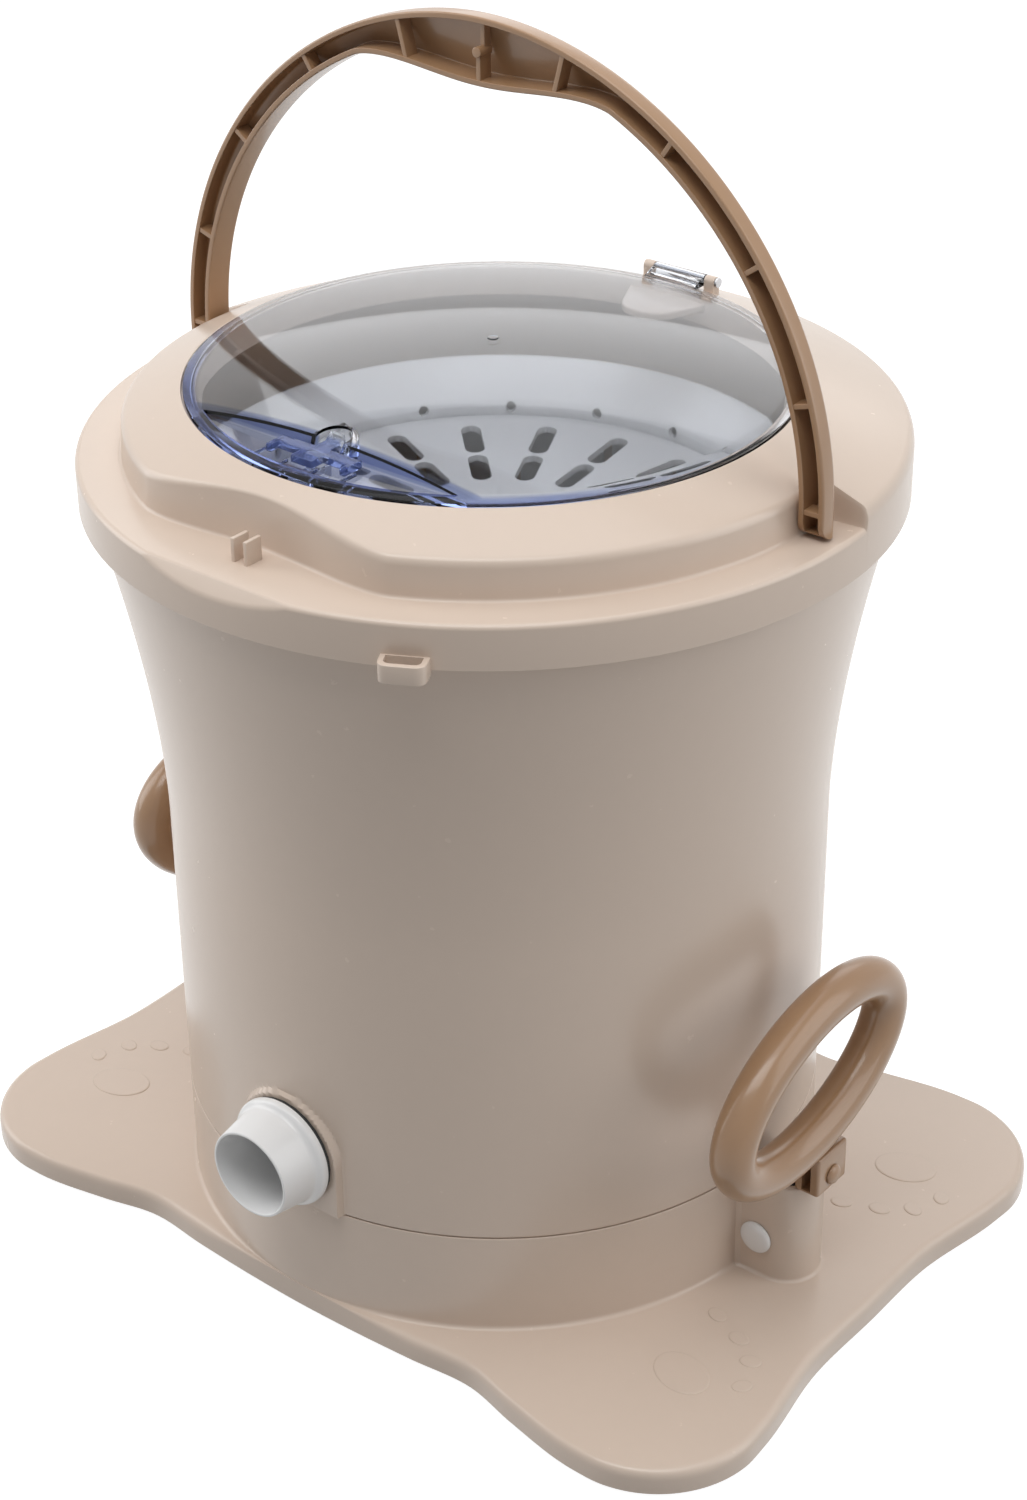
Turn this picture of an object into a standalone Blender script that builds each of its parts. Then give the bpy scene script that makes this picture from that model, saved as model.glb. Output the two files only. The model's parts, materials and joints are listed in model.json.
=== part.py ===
# Hand-pulled washing machine: a spin basket in a flared tub, turned by two ropes with pull rings.
# Metres, +Z up. The origin is on the floor at the middle. The pulls lie on X, the drain points to -Y.

import math

import bmesh
import bpy
import numpy as np
from mathutils import Matrix, Vector

# Driving dimensions
rim_radius = 0.155
body_radius = 0.1305
rim_height = 0.3284
seam_height = 0.057
foot_lift = 0.002
plate_height = 0.0105
plate_wall = 0.003
shell_wall = 0.0025
seat_gap = 0.0003
running_gap = 0.00015
overrun = 0.002
shaft_radius = 0.005
rope_radius = 0.0015

# Levels that several pieces share
plate_top = foot_lift + plate_height
ledge_rise = 0.0046
skirt_drop = 0.0124
pivot_lift = 0.0076
housing_proud = 0.0015
basket_bottom = 0.1
floor_top = 0.0554
ledge_height = rim_height + ledge_rise
skirt_bottom = rim_height - skirt_drop
pivot_height = ledge_height + pivot_lift
housing_top = seam_height + housing_proud

# Bail handle, seen from the front
bail_inset = 0.0039
crown_inset = 0.0015
centre_drop = 0.0052
foot_drop = 0.0068
stub_radius = 0.0034
clip_pin_radius = 0.0018
bail_half_span = rim_radius - bail_inset
bail_rise = rim_radius - crown_inset
bail_centre = pivot_height - centre_drop
bail_foot = pivot_height - foot_drop
bail_width = 0.0132
bail_power = 1.85
foot_thickness = 0.0109
shoulder_thickness = 0.0073
grip_half = 0.057
grip_depth = 0.015
nest_clearance = 0.0015

# Window and its seat in the lid
window_inset = 0.041
window_lift = 0.029
seat_width = 0.01
pocket_width = 0.024
dome_rise = 0.0133
window_wall = 0.0022
cone_slope = 0.42
window_radius = rim_radius - window_inset
window_edge = rim_height + window_lift
opening_radius = window_radius - seat_width
chord_reach = window_radius - pocket_width

# Pull housings and the rope mechanism
housing_half = 0.014
housing_reach = 0.0275
housing_wall = 0.003
roller_reach = 0.0085
roller_height = 0.0306
groove_radius = 0.0055
lower_rope_height = 0.0195
upper_rope_height = 0.034
drum_radius = 0.0285
winding_depth = 0.0045
flange_radius = 0.038
spool_height = 0.011
spool_web = 0.0015
spool_sides = 14
cover_top = plate_top - plate_wall - seat_gap
bridge_height = 0.043

# Pull ring and its plug
ring_half_width = 0.0516
ring_half_height = 0.0285
ring_tube = 0.0087
ring_lean = math.radians(11.6)
ring_stem = 0.0506
pivot_rise = 0.0062
plug_half = 0.01
plug_depth = 0.0111
plug_rise = 0.0178

# Drain
drain_height = 0.0804
drain_tube = 0.0183
drain_bore = 0.0155
drain_flange = 0.023
drain_reach = 0.0232
pad_half = 0.029
pad_proud = 0.0013
seat_depth = 0.006

# Spin basket
basket_gap = 0.0122
funnel_width = 0.0157
cover_drop = 0.0325
slot_count = 18
slot_turn = math.radians(15.5)
collar_radius = body_radius - basket_gap
collar_top = skirt_bottom
lip_radius = collar_radius - funnel_width
cover_level = rim_height - cover_drop

housing_end = body_radius + housing_reach
roller_x = body_radius + roller_reach
rope_path_radius = groove_radius + rope_radius + seat_gap
rope_x = roller_x + rope_path_radius
pin_height = housing_top + seat_gap + pivot_rise
lid_gap = 0.0011
tub_radius = rim_radius - shell_wall - lid_gap
tub_top = ledge_height - shell_wall - seat_gap
seat_level = window_edge - window_wall - seat_gap


def clear_scene():
    for thing in list(bpy.data.objects):
        bpy.data.objects.remove(thing, do_unlink=True)


def new_collection(name, hidden=False):
    made = bpy.data.collections.new(name)
    bpy.context.scene.collection.children.link(made)
    made.hide_render = hidden
    return made


def finish(name, colour, roughness, metallic=0, alpha=1):
    made = bpy.data.materials.new(name)
    made.use_nodes = True
    shader = made.node_tree.nodes["Principled BSDF"]
    shader.inputs["Base Color"].default_value = (*colour, 1)
    shader.inputs["Roughness"].default_value = roughness
    shader.inputs["Metallic"].default_value = metallic
    shader.inputs["Alpha"].default_value = alpha
    made.diffuse_color = (*colour, alpha)
    return made


def add_object(name, mesh, coat=None):
    """A piece in its material, or a hidden cutter where no material is given."""
    thing = bpy.data.objects.new(name, mesh)
    if coat:
        mesh.materials.append(coat)
        mesh.shade_smooth()
        mesh.set_sharp_from_angle(angle=math.radians(35))
        machine.objects.link(thing)
    else:
        cutters.objects.link(thing)
        thing.hide_render = True
        thing.display_type = "WIRE"
    return thing


def from_bmesh(name, form, coat=None):
    mesh = bpy.data.meshes.new(name)
    form.to_mesh(mesh)
    form.free()
    return add_object(name, mesh, coat)


def add_block(form, low, high, turn=0):
    """A box between two corners, turned about the Z axis."""
    made = bmesh.ops.create_cube(form, size=1)["verts"]
    size = [high[i] - low[i] for i in range(3)]
    middle = [(high[i] + low[i]) / 2 for i in range(3)]
    place = Matrix.Rotation(turn, 4, "Z") @ Matrix.Translation(middle) @ Matrix.Diagonal((*size, 1))
    bmesh.ops.transform(form, matrix=place, verts=made)


def add_rod(form, start, end, radius, sides=16, end_radius=None, turn=0):
    """A cylinder, or a cone, from one point to another."""
    start, end = Vector(start), Vector(end)
    axis = end - start
    place = Matrix.Translation((start + end) / 2) @ axis.to_track_quat("Z", "Y").to_matrix().to_4x4()
    bmesh.ops.create_cone(
        form,
        cap_ends=True,
        segments=sides,
        radius1=radius,
        radius2=radius if end_radius is None else end_radius,
        depth=axis.length,
        matrix=Matrix.Rotation(turn, 4, "Z") @ place,
    )


def block(name, low, high, coat=None, turn=0):
    form = bmesh.new()
    add_block(form, low, high, turn)
    return from_bmesh(name, form, coat)


def rod(name, start, end, radius, coat=None, sides=16, end_radius=None):
    form = bmesh.new()
    add_rod(form, start, end, radius, sides, end_radius)
    return from_bmesh(name, form, coat)


def turned(name, profile, coat=None, sides=48, place=None):
    """A turned shape. The profile holds (radius, height) down the outside, then up the inside."""
    count = len(profile)
    closed = all(radius > 0 for radius, height in profile)
    edges = [(i, (i + 1) % count) for i in range(count if closed else count - 1)]
    mesh = bpy.data.meshes.new(name)
    mesh.from_pydata([(radius, 0, height) for radius, height in profile], edges, [])
    thing = add_object(name, mesh, coat)
    screw = thing.modifiers.new("turn", "SCREW")
    screw.steps = screw.render_steps = sides
    screw.use_merge_vertices = True
    screw.merge_threshold = 0.00001
    screw.use_smooth_shade = True
    if place:
        thing.matrix_world = place
    return thing


def as_mesh(drawn, coat=None, place=None):
    """The curve's evaluated form as a welded mesh, with its place applied."""
    bpy.context.view_layer.update()
    graph = bpy.context.evaluated_depsgraph_get()
    mesh = bpy.data.meshes.new_from_object(drawn.evaluated_get(graph))
    form = bmesh.new()
    form.from_mesh(mesh)
    bmesh.ops.remove_doubles(form, verts=form.verts, dist=0.000001)
    bmesh.ops.transform(form, matrix=(place or Matrix()) @ drawn.matrix_world, verts=form.verts)
    bmesh.ops.recalc_face_normals(form, faces=form.faces)
    name = drawn.name
    bpy.data.objects.remove(drawn, do_unlink=True)
    bpy.data.meshes.remove(mesh)
    return from_bmesh(name, form, coat)


def slab(name, outlines, low, high, coat=None, place=None):
    """Flat outlines, the first outside and any others its holes, drawn from one level to another."""
    curve = bpy.data.curves.new(name, "CURVE")
    curve.dimensions = "2D"
    curve.fill_mode = "BOTH"
    curve.extrude = (high - low) / 2
    for points in outlines:
        line = curve.splines.new("POLY")
        line.points.add(len(points) - 1)
        for point, (across, along) in zip(line.points, points):
            point.co = (across, along, 0, 1)
        line.use_cyclic_u = True
    drawn = bpy.data.objects.new(name, curve)
    drawn.location.z = (low + high) / 2
    cutters.objects.link(drawn)
    return as_mesh(drawn, coat, place)


def tube(name, points, radius, coat, sides_level=2, loop=False):
    curve = bpy.data.curves.new(name, "CURVE")
    curve.dimensions = "3D"
    curve.bevel_depth = radius
    curve.bevel_resolution = sides_level
    curve.use_fill_caps = True
    line = curve.splines.new("POLY")
    line.points.add(len(points) - 1)
    for point, where in zip(line.points, points):
        point.co = (*where, 1)
    line.use_cyclic_u = loop
    drawn = bpy.data.objects.new(name, curve)
    cutters.objects.link(drawn)
    return as_mesh(drawn, coat)


def loft(name, rings, coat=None, closed=False):
    """Equal rings of points joined in turn, capped at both ends unless the last joins the first."""
    count = len(rings[0])
    points = [point for ring in rings for point in ring]
    faces = []
    for i in range(len(rings) if closed else len(rings) - 1):
        here, there = i * count, (i + 1) % len(rings) * count
        for j in range(count):
            k = (j + 1) % count
            faces.append((here + j, here + k, there + k, there + j))
    if not closed:
        faces.append(tuple(reversed(range(count))))
        faces.append(tuple(range(len(points) - count, len(points))))
    mesh = bpy.data.meshes.new(name)
    mesh.from_pydata(points, [], faces)
    form = bmesh.new()
    form.from_mesh(mesh)
    bmesh.ops.recalc_face_normals(form, faces=form.faces)
    form.to_mesh(mesh)
    form.free()
    return add_object(name, mesh, coat)


def carve(thing, tool, operation="DIFFERENCE"):
    modifier = thing.modifiers.new(tool.name, "BOOLEAN")
    modifier.operation = operation
    modifier.solver = "EXACT"
    modifier.object = tool
    return thing


def join(thing, tool):
    return carve(thing, tool, "UNION")


def four_corners(across, along):
    return [(across, along), (-across, along), (-across, -along), (across, -along)]


def inset(points, distance):
    """The closed outline moved inwards by a distance along its normals."""
    line = np.array(points)
    along = np.roll(line, -1, 0) - np.roll(line, 1, 0)
    along /= np.linalg.norm(along, axis=1)[:, None]
    return line + distance * np.stack([-along[:, 1], along[:, 0]], 1)


def smooth_step(value, low, high):
    t = min(max((value - low) / (high - low), 0), 1)
    return t * t * (3 - 2 * t)


def arc(centre, radius, start, end, steps):
    """Points on an arc from one angle to another, in degrees."""
    angles = [math.radians(start + (end - start) * i / steps) for i in range(steps + 1)]
    return [(centre[0] + radius * math.cos(a), centre[1] + radius * math.sin(a)) for a in angles]


def plate_outline():
    """Four round lobes, drawn in at the ends and flush with the base ring at the sides."""
    end_reach = 0.027
    lobe_radius = 0.0452
    lobe_setback = 0.0375
    lobe_drop = 0.038
    waist_drop = 0.0042
    half_length = housing_end + end_reach
    lobe_x = half_length - lobe_setback
    lobe_y = body_radius - lobe_drop
    side_y = body_radius + seat_gap
    quarter = [(half_length, 0), (half_length, lobe_radius * 0.85)]
    quarter += arc((lobe_x, lobe_y), lobe_radius, -10, 95, 7)
    quarter += [(lobe_x - lobe_radius * 0.85, side_y + lobe_radius * 0.03)]
    quarter += [(body_radius * 0.65, side_y - waist_drop), (body_radius * 0.43, side_y - waist_drop / 2)]
    quarter += [(body_radius * 0.2, side_y - waist_drop / 8), (0, side_y)]
    across = [(-x, y) for x, y in reversed(quarter[:-1])]
    upper = quarter + across
    lower = [(-x, -y) for x, y in upper[1:-1]]
    return upper + lower


def level_rings(points, levels):
    return [[(x, y, height) for x, y in inset(points, distance)] for distance, height in levels]


def housing_outline(half, inner_x, end_x):
    """A U in plan: straight sides and a round outer end."""
    return [(inner_x, -half)] + arc((end_x - half, 0), half, -90, 90, 8) + [(inner_x, half)]


def build_base_plate():
    skirt_wall = 0.0025
    edge_round = 0.0035
    ring_chamfer = 0.0008
    well_rise = 0.0025
    slot_half = 0.009
    slot_top = 0.044
    boss_radius = 0.0035
    boss_height = 0.0095
    rib_half = 0.001
    rib_drop = 0.0045
    cavity_floor = plate_top + well_rise
    rib_top = plate_top - plate_wall / 2
    rib_low = plate_top - plate_wall - rib_drop
    outline = plate_outline()
    under = plate_top - plate_wall
    plate = loft(
        "base_plate",
        level_rings(
            outline,
            [(0, foot_lift), (0, plate_top - edge_round), (edge_round * 0.3, plate_top - edge_round * 0.3)]
            + [(edge_round, plate_top)],
        ),
        beige,
    )
    ring = turned(
        "ring_form",
        [
            (0, seam_height),
            (body_radius, seam_height),
            (body_radius, plate_top + ring_chamfer),
            (body_radius + ring_chamfer, under),
            (0, under),
        ],
        sides=lathe_sides,
    )
    join(plate, ring)
    ends = [
        slab(
            f"housing_form_{side}",
            [housing_outline(housing_half, body_radius - housing_wall, housing_end)],
            under,
            housing_top,
            place=Matrix.Rotation(turn, 4, "Z"),
        )
        for side, turn in sides
    ]
    for end in ends:
        join(plate, end)
    carve(plate, loft("under_cut", level_rings(outline, [(skirt_wall, -overrun), (skirt_wall, under)])))
    ribs = bmesh.new()
    bars = bmesh.new()
    bosses = bmesh.new()
    posts = bmesh.new()
    holes = bmesh.new()
    for x, y in four_corners(*foot_place):
        add_block(ribs, (x - rib_reach, y - rib_half, rib_low), (x + rib_reach, y + rib_half, rib_top))
        add_block(bars, (x - rib_half, y - rib_reach, rib_low), (x + rib_half, y + rib_reach, rib_top))
        add_rod(bosses, (x, y, foot_lift + seat_gap), (x, y, rib_top), foot_stem + shell_wall, 10)
        add_rod(holes, (x, y, -overrun), (x, y, under), foot_stem + seat_gap, 10)
    for x, y in four_corners(*screw_place):
        add_rod(posts, (x, y, under), (x, y, plate_top + boss_height), boss_radius, 10)
        hole_top = plate_top + boss_height - shell_wall
        add_rod(holes, (x, y, -overrun), (x, y, hole_top), screw_radius + seat_gap, 8)
    inside = turned(
        "ring_cut",
        [
            (0, housing_top + overrun),
            (body_radius + seat_gap, housing_top + overrun),
            (body_radius + seat_gap, seam_height + running_gap),
            (body_radius - housing_wall, seam_height + running_gap),
            (body_radius - housing_wall, plate_top),
            (opening_under, plate_top),
            (opening_under, -overrun),
            (0, -overrun),
        ],
        sides=lathe_sides,
    )
    carve(plate, inside)
    for name, form in (("rib_form", ribs), ("bar_form", bars), ("boss_form", bosses), ("post_form", posts)):
        join(plate, from_bmesh(name, form))
    wells = bmesh.new()
    for side, turn in sides:
        add_block(
            wells,
            (body_radius - housing_wall - overrun, -slot_half, cavity_floor),
            (body_radius + overrun, slot_half, slot_top),
            turn,
        )
        inner_half = housing_half - housing_wall
        well = slab(
            f"well_{side}",
            [housing_outline(inner_half, body_radius + seat_gap, housing_end - housing_wall)],
            cavity_floor,
            housing_top + overrun,
            place=Matrix.Rotation(turn, 4, "Z"),
        )
        carve(plate, well)
    carve(plate, from_bmesh("well_slots", wells))
    for side, turn in sides:
        add_rod(
            holes,
            (roller_x, -housing_half - overrun, roller_height),
            (roller_x, housing_half - housing_wall / 2, roller_height),
            axle_radius + seat_gap,
            10,
            turn=turn,
        )
    carve(plate, from_bmesh("plate_holes", holes))


def build_base_cover():
    hub_radius = 0.011
    hub_drop = 0.002
    sleeve_rise = 0.001
    thickness = 0.0027
    edge_lap = 0.009
    bush_rise = 0.007
    spool_seat = lower_rope_height + sleeve_rise
    bottom = cover_top - thickness
    cover = turned(
        "base_cover",
        [
            (0, bottom + thickness / 2),
            (bush_radius + seat_gap, bottom + thickness / 2),
            (bush_radius + seat_gap, spool_seat),
            (hub_radius, spool_seat),
            (hub_radius, cover_top),
            (opening_under + edge_lap, cover_top),
            (opening_under + edge_lap, bottom),
            (hub_radius, bottom),
            (hub_radius, bottom - hub_drop),
            (0, bottom - hub_drop),
        ],
        beige,
        28,
    )
    holes = bmesh.new()
    for x, y in four_corners(*screw_place):
        add_rod(holes, (x, y, 0), (x, y, plate_top), screw_radius + seat_gap, 8)
    for y in (-bridge_reach, bridge_reach):
        add_rod(holes, (0, y, 0), (0, y, plate_top), screw_radius + seat_gap, 8)
    carve(cover, from_bmesh("cover_holes", holes))
    for i, (x, y) in enumerate(four_corners(*screw_place), 1):
        add_screw(f"cover_screw_{i}", x, y, bottom, plate_top)
    for i, y in enumerate((-bridge_reach, bridge_reach), 1):
        add_screw(f"bridge_screw_{i}", 0, y, bottom, cover_top + screw_bite)
    turned(
        "lower_bush",
        ring_profile(
            shaft_radius + running_gap,
            bush_radius,
            bottom + thickness / 2 + seat_gap,
            cover_top + bush_rise,
        ),
        brass,
        16,
    )


def add_screw(name, x, y, seat, top):
    """A pan-head screw driven upwards, its head below the seat."""
    head_radius = screw_radius * 2
    head_height = 0.0016
    turned(
        name,
        [
            (0, top),
            (screw_radius, top),
            (screw_radius, seat - seat_gap),
            (head_radius, seat - seat_gap),
            (head_radius, seat - seat_gap - head_height / 2),
            (head_radius * 0.7, seat - seat_gap - head_height),
            (0, seat - seat_gap - head_height),
        ],
        steel,
        8,
        Matrix.Translation((x, y, 0)),
    )


def ring_profile(inner, outer, bottom, top):
    return [(outer, top), (outer, bottom), (inner, bottom), (inner, top)]


def build_feet():
    pad_radius = 0.009
    for i, (x, y) in enumerate(four_corners(*foot_place), 1):
        turned(
            f"foot_{i}",
            [
                (0, plate_top - plate_wall - seat_gap),
                (foot_stem, plate_top - plate_wall - seat_gap),
                (foot_stem, foot_lift),
                (pad_radius, foot_lift),
                (pad_radius * 0.9, 0),
                (0, 0),
            ],
            rubber,
            10,
            Matrix.Translation((x, y, 0)),
        )


def flare(height):
    """Outer radius of the tub: straight at first, then opening towards the rim."""
    t = max(height - flare_start, 0) / (skirt_bottom - flare_start)
    return body_radius + flare_reach * t**1.7


def build_tub():
    seam_gap = 0.0006
    lip_depth = 0.008
    lip_radius_outer = body_radius - housing_wall - seat_gap
    sleeve_radius = 0.012
    sleeve_lift = 0.007
    collar_rise = 0.007
    seal_depth = 0.006
    sleeve_bottom = bridge_height + sleeve_lift
    floor_under = floor_top - plate_wall
    fillet = 0.006
    heights = [flare_start + (skirt_bottom - flare_start) * share for share in flare_shares]
    outer = [(flare(height), height) for height in reversed(heights)]
    inner = [(flare(height) - shell_wall, height) for height in heights]
    collar = skirt_bottom + collar_rise
    profile = [(tub_radius, tub_top), (tub_radius, collar)] + outer
    profile += [(body_radius, seam_height + seam_gap)]
    profile += [(lip_radius_outer, seam_height + seam_gap), (lip_radius_outer, seam_height - lip_depth)]
    profile += [(lip_radius_outer - shell_wall, seam_height - lip_depth)]
    profile += [(lip_radius_outer - shell_wall, floor_under), (sleeve_radius, floor_under)]
    profile += [(sleeve_radius, sleeve_bottom), (bush_radius + seat_gap, sleeve_bottom)]
    profile += [(bush_radius + seat_gap, sleeve_top), (sleeve_radius, sleeve_top), (sleeve_radius, floor_top)]
    profile += [(body_radius - shell_wall - fillet, floor_top)]
    profile += [(body_radius - shell_wall, floor_top + fillet)]
    profile += inner + [(tub_radius - shell_wall, collar), (tub_radius - shell_wall, tub_top)]
    tub = turned("tub", profile, beige, lathe_sides)
    pad_outline = arc((0, drain_height), pad_half, 0, 180, 10)
    pad_outline += [(-pad_half, seam_height + seam_gap), (pad_half, seam_height + seam_gap)]
    stand = Matrix.Rotation(math.pi / 2, 4, "X")
    join(tub, slab("drain_pad", [pad_outline], drain_seat, pad_face, place=stand))
    bore = rod(
        "drain_hole",
        (0, -drain_seat + overrun * 2, drain_height),
        (0, -pad_face - overrun, drain_height),
        drain_tube + seat_gap,
        sides=24,
    )
    carve(tub, bore)
    turned(
        "shaft_seal",
        ring_profile(shaft_radius + running_gap, bush_radius, sleeve_top - seal_depth, sleeve_top),
        rubber,
        16,
    )


def build_drain():
    washer = 0.0013
    flange_depth = 0.0027
    nut_depth = 0.0045
    mouth = pad_face + drain_reach
    lip = 0.0012
    face = pad_face + seat_gap
    lie = Matrix.Translation((0, 0, drain_height)) @ Matrix.Rotation(math.pi / 2, 4, "X")
    seal = ring_profile(drain_tube + seat_gap, drain_flange * 0.97, face, face + washer)
    turned("drain_washer", seal, rubber, 24, lie)
    flange = face + washer + seat_gap
    turned(
        "drain_spigot",
        [
            (drain_bore, mouth),
            (drain_tube - lip, mouth),
            (drain_tube, mouth - lip),
            (drain_tube, flange + flange_depth * 1.8),
            (drain_tube + lip, flange + flange_depth * 1.6),
            (drain_tube + lip, flange + flange_depth),
            (drain_flange - lip, flange + flange_depth),
            (drain_flange, flange + flange_depth / 2),
            (drain_flange, flange),
            (drain_tube, flange),
            (drain_tube, drain_seat - nut_depth - seat_gap * 2),
            (drain_bore, drain_seat - nut_depth - seat_gap * 2),
        ],
        white,
        24,
        lie,
    )
    nut = rod(
        "drain_nut",
        (0, -drain_seat + seat_gap, drain_height),
        (0, -drain_seat + seat_gap + nut_depth, drain_height),
        drain_flange,
        white,
        6,
    )
    hole = rod(
        "nut_hole",
        (0, -drain_seat - overrun, drain_height),
        (0, -drain_seat + nut_depth + overrun, drain_height),
        drain_tube + seat_gap,
        sides=24,
    )
    carve(nut, hole)


def bail_station(turn):
    """Outer and inner point of the bail, as (x, height), at an angle along its arch."""
    power = 2 / bail_power
    across = bail_half_span * math.copysign(abs(math.cos(turn)) ** power, math.cos(turn))
    rise = bail_rise * math.sin(turn) ** power
    slope_x = abs(across / bail_half_span) ** (bail_power - 1) / bail_half_span
    slope_z = (rise / bail_rise) ** (bail_power - 1) / bail_rise
    length = math.hypot(slope_x, slope_z)
    normal = (math.copysign(slope_x, across) / length, slope_z / length)
    leg = foot_thickness + (shoulder_thickness - foot_thickness) * smooth_step(rise, 0, bail_rise / 2)
    belly = grip_depth * max(0, 1 - (across / grip_half) ** 2) ** 1.5
    depth = leg + belly
    outer = (across, bail_centre + rise)
    return outer, normal, depth


def bail_points(turn, share_in, margin=0):
    """A point of the bail between its outer (0) and inner (1) edge, kept a margin inside both."""
    outer, normal, depth = bail_station(turn)
    step = margin + (depth - 2 * margin) * share_in
    return outer[0] - normal[0] * step, outer[1] - normal[1] * step


def build_handle():
    web = 0.002
    flange = 0.0018
    rib_half = 0.001
    stub_reach = 0.0095
    chamfer = 0.0025
    pin_proud = 0.0006
    foot_turn = 0.01
    half = bail_width / 2
    turns = [math.pi * i / bail_steps for i in range(bail_steps + 1)]
    outer = [bail_points(turn, 0) for turn in turns]
    inner = [bail_points(turn, 1) for turn in reversed(turns)]
    right_inner, right_outer = inner[-1][0], outer[0][0]
    foot_right = [(right_inner, bail_foot + chamfer), (right_inner + chamfer * 0.7, bail_foot)]
    foot_right += [(right_outer, bail_foot)]
    foot_left = [(-x, z) for x, z in reversed(foot_right)]
    stand = Matrix.Rotation(math.pi / 2, 4, "X")
    handle = slab("bail_handle", [outer + foot_left + inner + foot_right], -half, half, brown, stand)
    rib_places = [-bail_half_span * share for share in rib_shares] + [0]
    rib_places += [bail_half_span * share for share in reversed(rib_shares)]
    stops = [rib_turn(place) for place in rib_places]
    bays = list(zip([math.pi - foot_turn] + stops, stops + [foot_turn]))
    for i, (start, end) in enumerate(bays):
        first = start - rib_step(start, rib_half) if i else start
        last = end + rib_step(end, rib_half) if i < len(bays) - 1 else end
        count = max(2, round((first - last) / math.pi * bail_steps))
        steps = [first + (last - first) * k / count for k in range(count + 1)]
        edge = [bail_points(turn, 0, flange) for turn in steps]
        back = [bail_points(turn, 1, flange) for turn in reversed(steps)]
        carve(handle, slab(f"bay_{i}", [edge + back], -half + web, half + overrun, place=stand))
    corner = [(-half - overrun, pivot_height)]
    for a in np.linspace(0, math.pi / 2, 6):
        corner.append((-half * math.cos(a), pivot_height - half * math.sin(a)))
    corner += [(0, bail_foot - overrun), (-half - overrun, bail_foot - overrun)]
    carve(handle, slab("foot_round", [corner], -rim_radius, rim_radius, place=side_on))
    stubs = bmesh.new()
    for side in (-1, 1):
        inside = side * (right_inner + flange / 2)
        add_rod(stubs, (inside, 0, pivot_height), (inside - side * stub_reach, 0, pivot_height), stub_radius)
    join(handle, from_bmesh("stub_form", stubs))
    top = bail_points(math.pi / 2, 0.5)[1]
    step_back = block(
        "rib_step",
        (-rib_half * 2, -half - overrun, top),
        (rib_half * 2, -half + bail_width * 0.35, bail_points(math.pi / 2, 0, flange)[1]),
    )
    carve(handle, step_back)
    join(handle, rod("clip_pin", (0, -half - pin_proud, top), (0, 0, top), clip_pin_radius, sides=10))


def rib_turn(place):
    """The angle along the arch at which the bail reaches a place across."""
    share = abs(place) / bail_half_span
    turn = math.acos(min(share ** (bail_power / 2), 1))
    return turn if place >= 0 else math.pi - turn


def rib_step(turn, distance):
    """The change of angle that moves along the outer edge by a distance."""
    small = math.pi / bail_steps / 10
    here = Vector(bail_points(turn, 0))
    there = Vector(bail_points(min(max(turn + small, small), math.pi), 0))
    return distance * small / max((there - here).length, distance * small)


def nest_radius(angle):
    """Radius of the lid's platform at an angle from -Y: the folded bail's inner edge, less a clearance."""
    return float(np.interp(abs(angle), nest_angles, nest_radii)) - nest_clearance


def folded_inner_edge():
    angles, radii = [], []
    for i in range(bail_steps + 1):
        x, z = bail_points(math.pi / 2 * (1 - i / bail_steps), 1)
        y = pivot_height - z
        angles.append(math.atan2(x, -y))
        radii.append(math.hypot(x, y))
    order = np.argsort(angles)
    return np.array(angles)[order], np.array(radii)[order]


def cone(radius):
    """Height of the lid's sloping top at a radius."""
    return window_edge - seat_gap - (radius - window_radius) * cone_slope


def lid_section(angle, back_outer, back_inner):
    """The lid's section at an angle from -Y, outer side down from the window seat, then the inner side."""
    rim_round = 0.0016
    back_edge = 0.0017
    facet_width = 0.0046
    facet_drop = 0.0054
    facet_y = rim_radius - facet_width
    corner = 0.0012
    dip_slant = 0.0046
    wall = nest_radius(angle)
    plain = nest_radii.max() - nest_clearance
    slant = corner / 2 + dip_slant * smooth_step(plain - wall, plate_wall, plate_wall * 3)
    lip = rim_radius - rim_round
    edge_low = rim_height
    edge_radius = lip
    if math.cos(angle) * rim_radius > facet_y and abs(angle) < 1:
        edge_radius = min(lip, facet_y / math.cos(angle))
        drop = facet_drop * (rim_radius * math.cos(angle) - facet_y) / facet_width
        edge_low = min(ledge_height - drop, rim_height)
    seat_edge = window_radius + window_clearance
    top_front = [
        (wall - slant - corner, cone(wall - slant - corner)),
        (wall - slant, cone(wall - slant) - corner),
        (wall, ledge_height + corner),
        (wall + corner, ledge_height),
        (edge_radius, ledge_height),
        (rim_radius, edge_low),
    ]
    back_radii = [seat_edge + (lip - seat_edge) * share for share in slope_shares]
    top_back = [(radius, cone(radius)) for radius in back_radii]
    top_back += [(lip + rim_round / 2, cone(lip) - back_edge), (rim_radius, cone(lip) - back_edge * 4)]
    seat = [(opening_radius, seat_level), (seat_edge, seat_level), (seat_edge, cone(seat_edge))]
    outer = seat + (top_back if back_outer else top_front) + [(rim_radius, skirt_bottom)]
    inside = rim_radius - shell_wall
    low_radii = [inside * share for share in low_shares]
    low_front = [(inside, ledge_height - shell_wall), (wall - shell_wall, ledge_height - shell_wall)]
    low_front += [(wall - slant - shell_wall, cone(wall - slant) - shell_wall * 1.2)]
    low_back = [(inside, cone(inside) - shell_wall * 1.4)]
    low_back += [(radius, cone(radius) - shell_wall * 1.2) for radius in low_radii]
    inner = [(inside, skirt_bottom)] + (low_back if back_inner else low_front)
    under = seat_level - shell_wall
    inner += [(seat_edge + shell_wall, under), (opening_radius, under)]
    return outer + inner


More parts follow.
